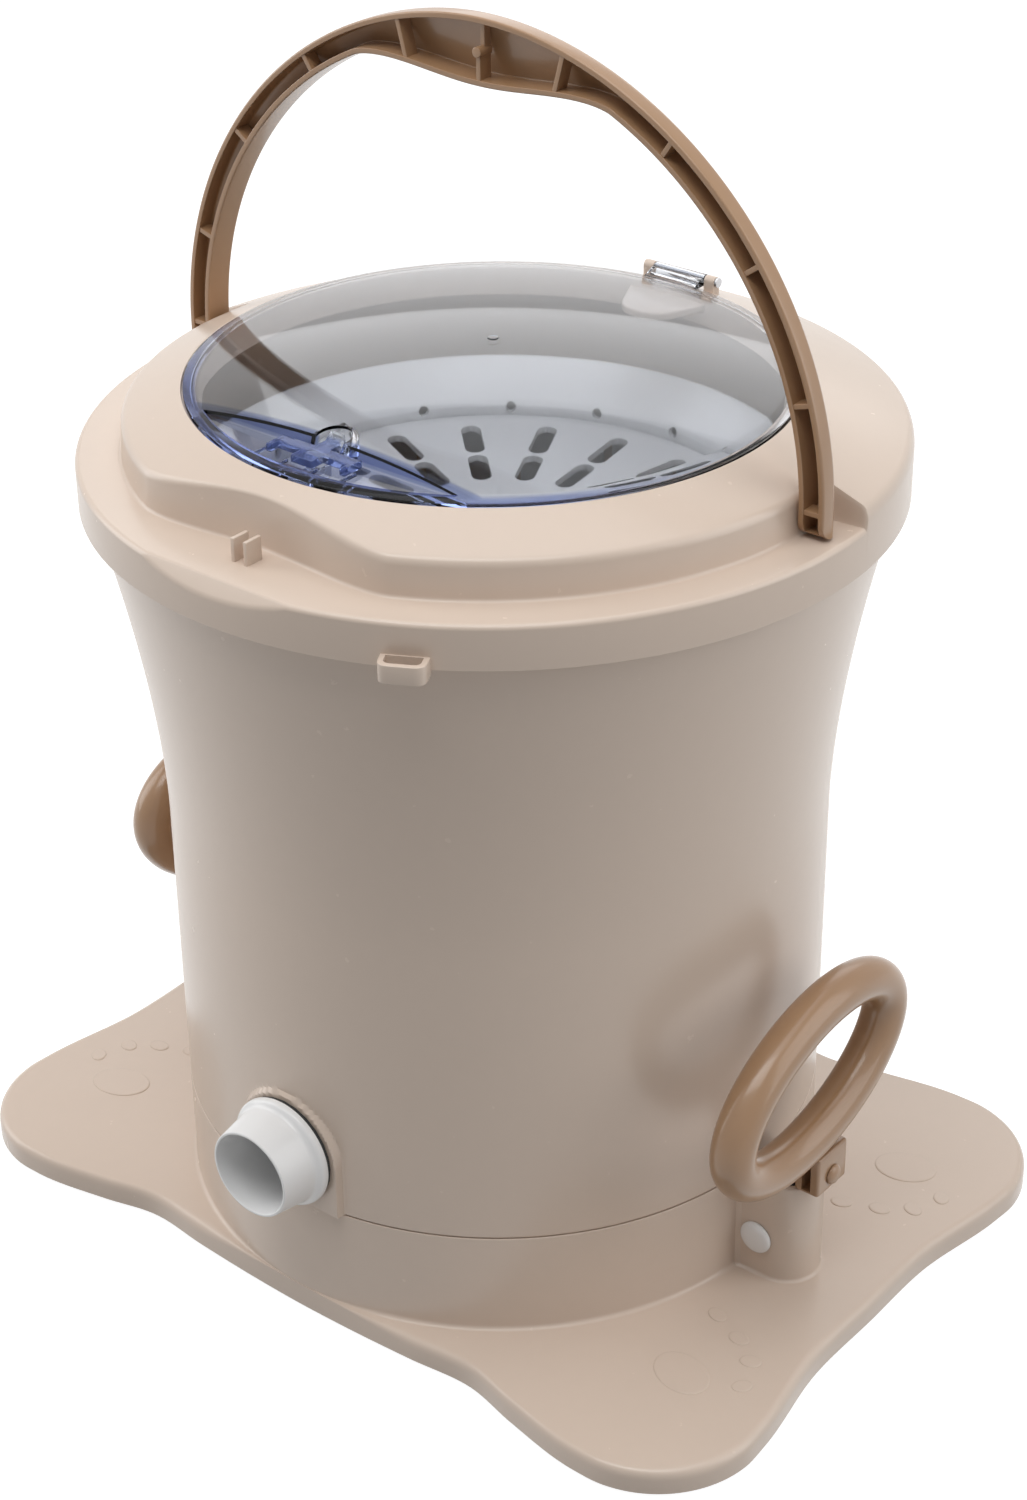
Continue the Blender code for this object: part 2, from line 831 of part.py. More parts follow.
def build_lid():
    notch = notch_turn
    step = math.radians(0.25)
    shift = math.radians(1.1)
    limit = math.pi / 2 + notch
    front = [limit * share for share in front_shares]
    turns = [(-turn, False, False) for turn in reversed(front[1:])]
    turns += [(turn, False, False) for turn in front]
    turns += [(limit + step, True, False), (limit + shift, True, False), (limit + shift + step, True, True)]
    rest = math.pi - limit - shift - step
    turns += [(limit + shift + step + 2 * rest * share, True, True) for share in back_shares]
    turns += [(2 * math.pi - limit - shift, True, False), (2 * math.pi - limit - step, True, False)]
    rings = []
    for turn, back_outer, back_inner in turns:
        section = lid_section(turn, back_outer, back_inner)
        rings.append([(r * math.sin(turn), -r * math.cos(turn), z) for r, z in section])
    lid = loft("lid", rings, beige, closed=True)
    tab_half_gap = clip_pin_radius + seat_gap
    tab_wall = 0.0016
    tab_height = 0.0093
    tabs = bmesh.new()
    for side in (-1, 1):
        near, far = sorted((side * tab_half_gap, side * (tab_half_gap + tab_wall)))
        add_block(
            tabs,
            (near, -tab_reach - tab_length / 2, ledge_height - shell_wall / 2),
            (far, -tab_reach + tab_length / 2, ledge_height + tab_height),
        )
    join(lid, from_bmesh("tab_form", tabs))
    add_hinge_ears(lid)
    add_hose_loop(lid)
    holes = bmesh.new()
    for side in (-1, 1):
        start = side * (nest_radii.max() - nest_clearance - housing_wall * 2)
        end = side * rim_radius * 0.91
        add_rod(holes, (start, 0, pivot_height), (end, 0, pivot_height), stub_radius + seat_gap)
    carve(lid, from_bmesh("pivot_holes", holes))


def add_hinge_ears(lid):
    """Two ears behind the window that hold the pin on which its knuckle turns."""
    hole = arc((hinge_y, hinge_z), pin_radius + running_gap, 0, 337.5, 15)
    foot = cone(hinge_y) - shell_wall / 2
    ear = arc((hinge_y, hinge_z), knuckle_radius, 0, 180, 8)
    ear += [(hinge_y - knuckle_radius, foot), (hinge_y + knuckle_radius, foot)]
    for side in (-1, 1):
        near, far = sorted((side * (knuckle_half + seat_gap), side * (knuckle_half + ear_wall)))
        join(lid, slab(f"ear_form_{side}", [ear, hole], near, far, place=side_on))
    turned(
        "window_hinge_pin",
        [
            (0, knuckle_half + ear_wall + pin_radius),
            (pin_radius * 1.6, knuckle_half + ear_wall + pin_radius),
            (pin_radius * 1.6, knuckle_half + ear_wall + seat_gap),
            (pin_radius, knuckle_half + ear_wall + seat_gap),
            (pin_radius, -knuckle_half - ear_wall),
            (0, -knuckle_half - ear_wall),
        ],
        steel,
        16,
        Matrix.Translation((0, hinge_y, hinge_z)) @ Matrix.Rotation(math.pi / 2, 4, "Y"),
    )


def add_hose_loop(lid):
    """A flat loop at the skirt's lower edge that holds the drain hose upright."""
    half_width = 0.0085
    reach = 0.008
    wall = 0.002
    height = 0.007
    turn = math.radians(-62)
    root = rim_radius - shell_wall / 2
    bend = rim_radius + reach - half_width * 0.5
    outer = [(root, -half_width)] + [
        (bend + half_width * 0.5 * math.cos(a), half_width * share)
        for a, share in zip(np.linspace(-math.pi / 2, math.pi / 2, 7), loop_shares)
    ]
    outer += [(root, half_width)]
    half_hole = [(rim_radius + wall * 0.3, half_width - wall), (bend, half_width - wall)]
    half_hole += [(rim_radius + reach - wall, half_width * 0.35)]
    hole = [(x, -y) for x, y in half_hole] + half_hole[::-1]
    place = Matrix.Rotation(turn, 4, "Z")
    low = skirt_bottom - wall
    join(lid, slab("loop_form", [outer, hole], low, low + height, place=place))


def dome(radius):
    return window_edge + dome_rise * (1 - (radius / window_radius) ** 2)


def build_window():
    radii = [window_radius * share for share in dome_shares]
    base = window_edge - window_wall
    top = [(0, dome(0))] + [(radius, dome(radius)) for radius in radii]
    window = turned("window", top + [(window_radius, base), (0, base)], clear, lathe_sides)
    under = [(0, dome(0) - window_wall)]
    under += [(r, dome(r) - window_wall) for r in radii if r < opening_radius - window_wall]
    under += [(opening_radius, base), (opening_radius, base - overrun), (0, base - overrun)]
    hollow = turned("window_hollow", under, sides=lathe_sides)
    beyond = -window_radius - overrun
    limit = block(
        "hollow_limit",
        (beyond, beyond, base - overrun * 2),
        (-beyond, -chord_reach + window_wall, dome(0)),
    )
    carve(window, carve(hollow, limit))
    pocket_top = dome(0) + overrun
    pocket_low = (beyond, beyond, base + window_wall)
    carve(window, block("latch_pocket", pocket_low, (-beyond, -chord_reach, pocket_top)))
    leaf_rise = 0.0009
    leaf_tip = window_radius * 0.775
    leaf_foot = window_radius * 0.97
    shell = [(r, dome(r) + leaf_rise) for r in leaf_shell]
    shell += [(r, dome(r) - window_wall / 2) for r in leaf_shell[::-1]]
    leaf = [(-knuckle_half * 1.5, leaf_foot), (-knuckle_half * 0.1, leaf_tip)]
    leaf += [(-x, y) for x, y in reversed(leaf)]
    leaf_form = slab("hinge_leaf", [leaf], base, dome(0))
    join(window, carve(leaf_form, turned("leaf_shell", shell, sides=lathe_sides), "INTERSECT"))
    knuckle = arc((hinge_y, hinge_z), knuckle_radius, -90, 120, 9)
    knuckle_foot = leaf_foot - window_wall / 2
    knuckle += [(knuckle_foot, window_edge + window_wall), (knuckle_foot, window_edge + seat_gap)]
    hole = arc((hinge_y, hinge_z), pin_radius + running_gap, 0, 337.5, 15)
    join(window, slab("knuckle", [knuckle, hole], -knuckle_half, knuckle_half, place=side_on))
    arch_radius = 0.0088
    arch_foot = (0, dome(knob_reach) - window_wall / 2)
    arch = arc(arch_foot, arch_radius, 0, 180, 8) + arc(arch_foot, arch_radius - window_wall, 180, 0, 8)
    stand = Matrix.Rotation(math.pi / 2, 4, "X")
    arch_back, arch_front = knob_reach - window_wall, knob_reach + window_wall / 2
    join(window, slab("finger_arch", [arch], arch_back, arch_front, place=stand))
    latch_slot = block(
        "latch_slot",
        (-latch_leg - seat_gap * 2, -latch_y - latch_depth - latch_travel - seat_gap, base - overrun),
        (latch_leg + seat_gap * 2, -latch_y + seat_gap * 3, base + window_wall * 1.5),
    )
    carve(window, latch_slot)


def build_latch():
    bar_half = 0.0186
    bar_depth = 0.0063
    bar_height = 0.003
    tongue = 0.0053
    tongue_height = 0.0023
    floor = window_edge + seat_gap
    low = seat_level - shell_wall - seat_gap
    front = -latch_y - latch_depth
    back = -chord_reach - seat_gap * 4
    top = floor + bar_height * 0.9
    hook = [(-latch_y, top), (front - tongue * 1.3, top), (front - tongue * 1.3, floor), (front, floor)]
    hook += [(front, low), (front - tongue, low), (front - tongue, low - tongue_height)]
    hook += [(-latch_y, low - tongue_height)]
    latch = slab("window_latch", [hook], -latch_leg, latch_leg, clear, side_on)
    bar_low = (-bar_half, back - bar_depth, floor)
    join(latch, block("latch_bar", bar_low, (bar_half, back, floor + bar_height)))


def build_basket():
    top_drop = 0.0065
    floor_lift = 0.004
    taper = 0.0034
    hub_radius = 0.014
    top = collar_top - top_drop
    floor = basket_bottom + floor_lift
    wall_outer = collar_radius - shell_wall - seat_gap * 2
    foot_outer = wall_outer - taper
    bore = thread_radius + seat_gap
    fillet = 0.008
    profile = [(wall_outer, top), (foot_outer, floor + fillet)]
    profile += [(foot_outer - fillet, floor), (hub_radius, floor), (hub_radius, basket_bottom + seat_gap)]
    profile += [(bore, basket_bottom + seat_gap), (bore, hub_top), (hub_radius, hub_top)]
    profile += [(hub_radius, floor + shell_wall)]
    profile += [(foot_outer - fillet - shell_wall / 2, floor + shell_wall)]
    profile += [(foot_outer - shell_wall, floor + fillet + shell_wall / 2), (wall_outer - shell_wall, top)]
    basket = turned("spin_basket", profile, white, lathe_sides)
    slits = bmesh.new()
    slit_half = 0.0022
    slit_low = 0.022
    for i in range(slot_count):
        turn = 2 * math.pi * (i + 0.25) / slot_count
        add_block(
            slits,
            (foot_outer - shell_wall * 3, -slit_half, floor + slit_low),
            (wall_outer + overrun, slit_half, top - slit_low),
            turn,
        )
    for i in range(slot_count // 2):
        turn = 4 * math.pi * (i + 0.25) / slot_count
        add_block(
            slits,
            (hub_radius * 2, -slit_half, floor - overrun),
            (foot_outer * 0.8, slit_half, floor + shell_wall + overrun),
            turn,
        )
    carve(basket, from_bmesh("basket_slits", slits))


def build_collar():
    """The funnel that closes the basket's top and carries the slotted cover."""
    wall = 0.0022
    skirt = 0.018
    ledge = 0.0036
    ledge_top = cover_level - cover_thickness - seat_gap
    top = collar_top
    slope_top = (lip_radius + wall, cover_level + wall * 2)
    profile = [
        (collar_radius - wall * 0.9, top),
        (collar_radius - wall * 0.25, top - wall * 0.3),
        (collar_radius, top - wall),
        (collar_radius, top - skirt),
        (collar_radius - shell_wall + seat_gap, top - skirt),
        (collar_radius - shell_wall + seat_gap, top - wall * 2.2),
        (collar_radius - shell_wall * 2, top - wall * 2.5),
        (lip_radius + wall, slope_top[1] - wall / 2),
        (lip_radius + wall, ledge_top - wall),
        (lip_radius - ledge, ledge_top - wall),
        (lip_radius - ledge, ledge_top),
        (lip_radius, ledge_top),
        (lip_radius, slope_top[1] - wall / 2),
        (lip_radius + wall / 2, slope_top[1] + wall / 2),
        (collar_radius - wall * 1.7, top - wall * 0.4),
    ]
    collar = turned("basket_collar", profile, white, lathe_sides)
    holes = bmesh.new()
    hole_half = 0.0021
    for i in range(slot_count):
        add_block(
            holes,
            (lip_radius - wall, -hole_half, cover_level + seat_gap),
            (lip_radius + wall * 2, hole_half, cover_level + hole_half * 1.7),
            slot_turn + 2 * math.pi * (i + 0.5) / slot_count,
        )
    carve(collar, from_bmesh("collar_holes", holes))


def build_basket_cover():
    edge = lip_radius - lid_gap
    dish = 0.004
    slot_half = 0.004
    bottom = cover_level - cover_thickness
    plate = turned(
        "basket_cover",
        [
            (0, cover_level - dish),
            (edge * 0.5, cover_level - dish * 0.75),
            (edge, cover_level),
            (edge, bottom),
            (edge * 0.5, bottom - dish * 0.75),
            (0, bottom - dish),
        ],
        white,
        36,
    )
    slots = bmesh.new()
    for i in range(slot_count):
        for low_share, high_share in slot_shares:
            add_block(
                slots,
                (edge * low_share, -slot_half, bottom - dish - overrun),
                (edge * high_share, slot_half, cover_level + overrun),
                slot_turn + 2 * math.pi * i / slot_count,
            )
    carve(plate, from_bmesh("cover_slots", slots))


def build_shaft():
    thread_rise = 0.002
    foot_rise = 0.0009
    nut_radius = 0.008
    turned(
        "drive_shaft",
        [
            (0, nut_top + thread_rise),
            (thread_radius, nut_top + thread_rise),
            (thread_radius, basket_bottom),
            (shaft_radius, basket_bottom),
            (shaft_radius, cover_top - foot_rise),
            (0, cover_top - foot_rise),
        ],
        steel,
        16,
    )
    nut = rod("hub_nut", (0, 0, hub_top + seat_gap), (0, 0, nut_top), nut_radius, steel, 6)
    start, end = (0, 0, hub_top - overrun), (0, 0, nut_top + overrun)
    carve(nut, rod("hub_nut_hole", start, end, thread_radius + seat_gap))


def build_bridge():
    """A bar over the spools, on two legs, whose sleeve holds the shaft's upper bush."""
    bar_half = 0.008
    bar_height = 0.003
    leg_half = 0.004
    sleeve_radius = 0.011
    sleeve_drop = 0.001
    hole_depth = 0.013
    sleeve_bottom = upper_rope_height - sleeve_drop
    middle = bridge_height + bar_height / 2
    top = bridge_height + bar_height
    outline = housing_outline(bar_half, 0, bridge_reach + leg_half * 2)
    outline = outline[1:-1] + [(-x, -y) for x, y in outline[1:-1]]
    upright = Matrix.Rotation(math.pi / 2, 4, "Z")
    bridge = slab("spool_bridge", [outline], bridge_height, bridge_height + bar_height, beige, upright)
    legs = bmesh.new()
    for y in (-bridge_reach, bridge_reach):
        low = (-bar_half * 0.8, y - leg_half, cover_top + seat_gap)
        add_block(legs, low, (bar_half * 0.8, y + leg_half, middle))
    join(bridge, from_bmesh("leg_form", legs))
    join(bridge, rod("bridge_sleeve", (0, 0, sleeve_bottom), (0, 0, middle), sleeve_radius, sides=16))
    holes = bmesh.new()
    add_rod(holes, (0, 0, sleeve_bottom - overrun), (0, 0, top + overrun), bush_radius + seat_gap, 16)
    for y in (-bridge_reach, bridge_reach):
        start, end = (0, y, cover_top - overrun), (0, y, cover_top + hole_depth)
        add_rod(holes, start, end, screw_radius + seat_gap, 8)
    carve(bridge, from_bmesh("bridge_holes", holes))
    turned(
        "upper_bush",
        [
            (bush_radius * 1.3, top + seat_gap + spool_web),
            (bush_radius * 1.3, top + seat_gap),
            (bush_radius, top + seat_gap),
            (bush_radius, bridge_height - bar_height),
            (shaft_radius + running_gap, bridge_height - bar_height),
            (shaft_radius + running_gap, top + seat_gap + spool_web),
        ],
        brass,
        16,
    )


def build_spool(name, rope_height, up):
    """A drum with a web on one side and room for its return spring on the other."""
    hub_radius = 0.0105
    hub_rise = 0.002
    low, high = -spool_height / 2, spool_height / 2
    drum_inner = drum_radius - drum_wall
    bore = clutch_radius + seat_gap
    profile = [
        (flange_radius, high),
        (flange_radius, high - spool_web),
        (drum_radius, high - spool_web),
        (drum_radius, low + spool_web),
        (flange_radius, low + spool_web),
        (flange_radius, low),
        (hub_radius, low),
        (hub_radius, low - hub_rise / 2),
        (bore, low - hub_rise / 2),
        (bore, low + spool_web + hub_rise),
        (hub_radius, low + spool_web + hub_rise),
        (hub_radius, low + spool_web),
        (drum_inner, low + spool_web),
        (drum_inner, high),
    ]
    flip = Matrix() if up else Matrix.Rotation(math.pi, 4, "X")
    place = Matrix.Translation((0, 0, rope_height)) @ flip
    turned(f"rope_spool_{name}", profile, white, spool_sides, place)
    wound = drum_radius + winding_depth
    winding = ring_profile(drum_radius + seat_gap, wound, low + spool_web * 2, high - spool_web * 2)
    turned(f"rope_winding_{name}", winding, rope_black, spool_sides, place)
    clutch_low, clutch_high = low - hub_rise / 2, low + spool_web + hub_rise
    clutch = ring_profile(shaft_radius + running_gap, clutch_radius, clutch_low, clutch_high)
    turned(f"one_way_clutch_{name}", clutch, steel, 16, place)
    spring_low = low + spool_web + running_gap * 4
    add_return_spring(f"return_spring_{name}", rope_height, up, spring_low, high - running_gap * 4)


def add_return_spring(name, rope_height, up, low, high):
    """A flat spiral spring, its inner end on the fixed sleeve."""
    inner = 0.0117
    strip = 0.0008
    turns = 3
    room = (drum_radius - drum_wall) * math.cos(math.pi / spool_sides)
    outer = room - strip - seat_gap * 2
    steps = turns * 9
    edges = []
    for offset in (0, strip):
        line = []
        for i in range(steps + 1):
            angle = 2 * math.pi * turns * i / steps
            radius = inner + (outer - inner) * i / steps + offset
            line.append((radius * math.cos(angle), radius * math.sin(angle)))
        edges.append(line)
    flip = Matrix() if up else Matrix.Rotation(math.pi, 4, "X")
    place = Matrix.Translation((0, 0, rope_height)) @ flip
    slab(name, [edges[0] + edges[1][::-1]], low, high, steel, place)


def build_pull(side, turn, rope_height):
    """One pull: roller and pin in the housing, the rope, the plug and its ring, built at +X and turned."""
    place = Matrix.Rotation(turn, 4, "Z")
    flange_rise = 0.0023
    side_room = 0.004
    flange = groove_radius + flange_rise
    half = housing_half - housing_wall - side_room
    across = Matrix.Translation((roller_x, 0, roller_height)) @ Matrix.Rotation(math.pi / 2, 4, "X")
    groove_half = rope_radius * 1.3
    turned(
        f"guide_roller_{side}",
        [
            (flange, half),
            (flange, groove_half * 1.6),
            (groove_radius, groove_half),
            (groove_radius, -groove_half),
            (flange, -groove_half * 1.6),
            (flange, -half),
            (axle_radius + running_gap, -half),
            (axle_radius + running_gap, half),
        ],
        white,
        16,
        place @ across,
    )
    cap_radius = 0.007
    cap_rise = 0.0024
    wall_face = housing_half + seat_gap
    turned(
        f"roller_pin_{side}",
        [
            (0, wall_face + cap_rise),
            (cap_radius * 0.5, wall_face + cap_rise * 0.8),
            (cap_radius * 0.85, wall_face + cap_rise * 0.4),
            (cap_radius, wall_face),
            (axle_radius, wall_face),
            (axle_radius, -housing_half + housing_wall / 2 + seat_gap),
            (0, -housing_half + housing_wall / 2 + seat_gap),
        ],
        white,
        16,
        place @ across,
    )
    add_ropes(side, place, rope_height)
    add_plug(side, place)
    add_ring(side, place)


def add_ropes(side, place, rope_height):
    """The rope from the plug to the roller, and its fixed path round the roller to the spool."""
    top = housing_top - seat_gap
    upright = [(rope_x, 0, roller_height + seat_gap), (rope_x, 0, top)]
    up = tube(f"pull_rope_{side}", upright, rope_radius, rope_black)
    up.data.transform(place)
    path = []
    for i in range(6):
        angle = math.pi / 2 * i / 5
        across = roller_x + rope_path_radius * math.cos(angle)
        path.append((across, 0, roller_height - rope_path_radius * math.sin(angle)))
    winding = drum_radius + winding_depth + rope_radius + seat_gap
    touch = math.acos(winding / roller_x)
    end = (winding * math.cos(touch), winding * math.sin(touch), rope_height)
    for share in (0.5, 1):
        path.append(tuple(path[5][k] + (end[k] - path[5][k]) * share for k in range(3)))
    run = tube(f"rope_run_{side}", path, rope_radius, rope_black)
    run.data.transform(place)


def add_plug(side, place):
    """The block that the ring swivels in: a fork with a rope lug on its inner side."""
    bottom = housing_top + seat_gap
    top = bottom + plug_rise
    near = plug_x - plug_depth / 2
    far = plug_x + plug_depth / 2
    fork = lug_half + seat_gap
    edge_round = 0.0015
    plug = block(f"pull_plug_{side}", (near, -plug_half, bottom), (far, plug_half, top), brown)
    soften = plug.modifiers.new("edges", "BEVEL")
    soften.width = edge_round
    soften.segments = 1
    eye = rope_radius * 2.4
    join(plug, block(f"rope_lug_{side}", (rope_x - eye, -eye, bottom), (near + eye, eye, bottom + eye * 2)))
    low = (plug_x - fork, -plug_half - overrun, pin_height - lug_radius - seat_gap)
    carve(plug, block(f"fork_cut_{side}", low, (plug_x + fork, plug_half + overrun, top + overrun)))
    blind = near + overrun
    start, end = (blind, 0, pin_height), (far + overrun, 0, pin_height)
    carve(plug, rod(f"plug_hole_{side}", start, end, ring_pin + seat_gap))
    plug.data.transform(place)
    for modifier in plug.modifiers:
        if modifier.type == "BOOLEAN":
            modifier.object.data.transform(place)
    head = 0.0022
    pin = turned(
        f"ring_pin_{side}",
        [
            (0, far + seat_gap + head),
            (ring_pin * 1.4, far + seat_gap + head * 0.8),
            (ring_pin * 2.1, far + seat_gap),
            (ring_pin, far + seat_gap),
            (ring_pin, blind + seat_gap),
            (0, blind + seat_gap),
        ],
        brown,
        12,
        place @ Matrix.Translation((0, 0, pin_height)) @ Matrix.Rotation(math.pi / 2, 4, "Y"),
    )
    return pin


def add_ring(side, place):
    """An oval ring with a lug at its foot, leaning on its plug."""
    points = []
    for i in range(ring_steps):
        angle = 2 * math.pi * i / ring_steps
        points.append((0, ring_half_width * math.cos(angle), ring_stem + ring_half_height * math.sin(angle)))
    ring = tube(f"pull_ring_{side}", points, ring_tube, brown, 2, True)
    inner_foot = ring_stem - ring_half_height
    lug = [(inner_foot, -lug_radius)] + arc((0, 0), lug_radius, -90, -270, 8) + [(inner_foot, lug_radius)]
    upright = Matrix(((0, 0, 1, 0), (0, 1, 0, 0), (1, 0, 0, 0), (0, 0, 0, 1)))
    tongue = slab(f"lug_form_{side}", [lug], -lug_half, lug_half, place=upright)
    join(ring, tongue)
    hole = rod(f"lug_hole_{side}", (-lug_half * 2, 0, 0), (lug_half * 2, 0, 0), ring_pin + seat_gap)
    carve(ring, hole)
    lean = place @ Matrix.Translation((plug_x, 0, pin_height)) @ Matrix.Rotation(ring_lean, 4, "X")
    for thing in (ring, tongue, hole):
        thing.matrix_world = lean


# Sizes that belong to pairs of pieces
axle_radius = 0.0024
bush_radius = 0.0079
clutch_radius = 0.0075
screw_radius = 0.0015
thread_radius = 0.004
foot_stem = 0.003
foot_reach = 0.008
foot_setback = 0.0355
screw_setback = 0.045
screw_bite = 0.0104
opening_lap = 0.0145
foot_place = (housing_end - foot_reach, body_radius - foot_setback)
screw_place = (body_radius - screw_setback, body_radius - screw_setback)
opening_under = body_radius - opening_lap
rib_reach = 0.032
bridge_reach = 0.052
sleeve_top = 0.092
hub_height = 0.014
nut_height = 0.007
hub_top = basket_bottom + hub_height
nut_top = hub_top + nut_height
flare_start = 0.184
rim_step = 0.0015
flare_reach = tub_radius - rim_step - body_radius
flare_shares = (0, 0.32, 0.58, 0.8, 1)
pad_face = body_radius + pad_proud
drain_seat = body_radius - seat_depth
rib_shares = (0.963, 0.93, 0.786, 0.548, 0.243)
slope_shares = (0.3, 0.6, 0.8, 0.95)
low_shares = (0.95, 0.88)
bail_steps = 38
front_shares = (0, 0.07, 0.13, 0.18, 0.22, 0.26, 0.3, 0.36, 0.44, 0.53, 0.62, 0.71, 0.8, 0.9, 1)
back_shares = tuple(i / 16 for i in range(1, 17))
notch_turn = math.radians(5.6)
tab_setback = 0.0209
tab_reach = rim_radius - tab_setback
tab_length = 0.0077
knuckle_half = 0.012
knuckle_radius = 0.0028
ear_wall = 0.005
window_clearance = 0.0006
hinge_setback = 0.0035
hinge_lift = 0.0026
hinge_y = window_radius + hinge_setback
hinge_z = window_edge + hinge_lift
pin_radius = 0.0012
dome_shares = (0.3, 0.55, 0.78, 0.9, 1)
knob_setback = 0.018
knob_reach = chord_reach - knob_setback
latch_leg = 0.005
latch_step = 0.0045
latch_y = chord_reach + latch_step
latch_depth = 0.0037
latch_travel = 0.0035
cover_thickness = 0.0026
slot_shares = ((0.445, 0.66), (0.68, 0.91))
loop_shares = (-1, -0.88, -0.5, 0, 0.5, 0.88, 1)
plug_reach = 0.0002
plug_x = housing_end + plug_reach
drum_wall = 0.0025
lug_half = 0.0017
lug_radius = 0.0045
ring_pin = 0.002
ring_steps = 22
sides = (("right", 0), ("left", math.pi))

side_on = Matrix(((0, 0, 1, 0), (1, 0, 0, 0), (0, 1, 0, 0), (0, 0, 0, 1)))
lathe_sides = 28
leaf_shell = [window_radius * share for share in (0.7, 0.8, 0.9, 0.99)]

clear_scene()
machine = new_collection("manual_washing_machine")
cutters = new_collection("cutters", hidden=True)
beige = finish("beige_plastic", (0.72, 0.62, 0.53), 0.3)
brown = finish("brown_plastic", (0.22, 0.12, 0.065), 0.4)
white = finish("white_plastic", (0.8, 0.8, 0.79), 0.3)
clear = finish("clear_plastic", (0.8, 0.83, 0.9), 0.1, alpha=0.3)
rubber = finish("black_rubber", (0.03, 0.03, 0.03), 0.8)
rope_black = finish("black_rope", (0.02, 0.02, 0.02), 0.9)
steel = finish("steel", (0.55, 0.55, 0.56), 0.3, metallic=1)
brass = finish("brass", (0.6, 0.42, 0.15), 0.35, metallic=1)
nest_angles, nest_radii = folded_inner_edge()

build_base_plate()
build_base_cover()
build_feet()
build_tub()
build_drain()
build_shaft()
build_bridge()
build_spool("lower", lower_rope_height, False)
build_spool("upper", upper_rope_height, True)
build_basket()
build_collar()
build_basket_cover()
build_lid()
build_window()
build_latch()
build_handle()
build_pull("right", 0, lower_rope_height)
build_pull("left", math.pi, upper_rope_height)
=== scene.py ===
import json
import math

import bmesh
import bpy
import numpy as np
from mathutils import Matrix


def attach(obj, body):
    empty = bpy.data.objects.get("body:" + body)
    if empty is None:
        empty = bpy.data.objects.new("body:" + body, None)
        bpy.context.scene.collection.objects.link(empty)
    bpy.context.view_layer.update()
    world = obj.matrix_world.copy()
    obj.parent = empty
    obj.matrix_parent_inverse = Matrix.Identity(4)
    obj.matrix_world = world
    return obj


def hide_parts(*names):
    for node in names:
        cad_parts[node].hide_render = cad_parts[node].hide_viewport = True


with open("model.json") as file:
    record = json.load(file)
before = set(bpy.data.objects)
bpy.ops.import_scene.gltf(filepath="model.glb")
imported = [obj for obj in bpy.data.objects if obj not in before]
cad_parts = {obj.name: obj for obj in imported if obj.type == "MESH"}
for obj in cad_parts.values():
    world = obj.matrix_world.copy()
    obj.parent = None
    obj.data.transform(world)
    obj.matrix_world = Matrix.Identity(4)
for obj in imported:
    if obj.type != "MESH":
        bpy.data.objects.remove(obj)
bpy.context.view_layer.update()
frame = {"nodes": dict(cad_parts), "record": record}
mm = 0.001
print("frame loaded")

# Levels and radii that several pieces share, as in the solids
common = {
    "rim": 155 * mm,
    "body": 130.5 * mm,
    "seam": 57 * mm,
    "plateTop": 12.5 * mm,
    "ledge": 333 * mm,
    "skirt": 316 * mm,
    "pivot": 340.6 * mm,
    "window": 114 * mm,
    "windowEdge": 357.4 * mm,
    "domeRise": 13.3 * mm,
    "windowWall": 2.2 * mm,
    "openingRadius": 104 * mm,
    "coneSlope": 0.42,
    "pinHeight": 65 * mm,
    "plugX": 158.2 * mm,
    "hingeY": 117.5 * mm,
    "hingeZ": 360 * mm,
    "hingeKnuckle": 2.1 * mm,
    "hingeBore": 1.35 * mm,
}


# Small tools

# A smooth step: 0 below low, 1 above high, and 3t^2 - 2t^3 between.
def smoothStep(value, low, high):
    t = np.clip((value - low) / (high - low), 0, 1)
    return t * t * (3 - 2 * t)


# Each corner of a loop of points is cut by the curve (1-t)^2 a + 2t(1-t) corner + t^2 b,
# where a and b lie on its two sides at the corner's reach. A reach of zero keeps it sharp.
def roundedLoop(corners, reaches, steps=6):
    corners = np.asarray(corners, float)
    back = np.roll(corners, 1, -2) - corners
    ahead = np.roll(corners, -1, -2) - corners
    backLength = np.linalg.norm(back, axis=-1)
    aheadLength = np.linalg.norm(ahead, axis=-1)
    t = np.linspace(0, 1, steps)[:, None]
    rows = []
    for i, reach in enumerate(reaches):
        corner = corners[..., i, :]
        if np.ndim(reach) == 0 and not reach:
            rows.append(corner[..., None, :])
            continue
        cut = np.minimum(reach, 0.47 * np.minimum(backLength[..., i], aheadLength[..., i]))[..., None]
        a = corner + back[..., i, :] / backLength[..., i, None] * cut
        b = corner + ahead[..., i, :] / aheadLength[..., i, None] * cut
        rows.append(
            (1 - t) ** 2 * a[..., None, :] + 2 * t * (1 - t) * corner[..., None, :] + t**2 * b[..., None, :]
        )
    return np.concatenate(rows, -2)


# A closed curve through points: cubic pieces whose slopes are the neighbours' mean, weighed by chord length.
def smoothLoop(points, perPiece):
    points = np.asarray(points, float)
    nextPoints = np.roll(points, -1, 0)
    chord = np.linalg.norm(nextPoints - points, axis=1)[:, None]
    chordBefore = np.roll(chord, 1, 0)
    slopeAfter = (nextPoints - points) / chord
    slopeBefore = np.roll(slopeAfter, 1, 0)
    slope = (slopeBefore * chord + slopeAfter * chordBefore) / (chord + chordBefore)
    nextSlope = np.roll(slope, -1, 0)
    t = (np.arange(perPiece) / perPiece)[None, :, None]
    curve = (
        (2 * t**3 - 3 * t**2 + 1) * points[:, None]
        + (t**3 - 2 * t**2 + t) * (chord * slope)[:, None]
        + (3 * t**2 - 2 * t**3) * nextPoints[:, None]
        + (t**3 - t**2) * (chord * nextSlope)[:, None]
    )
    return curve.reshape(-1, points.shape[1])


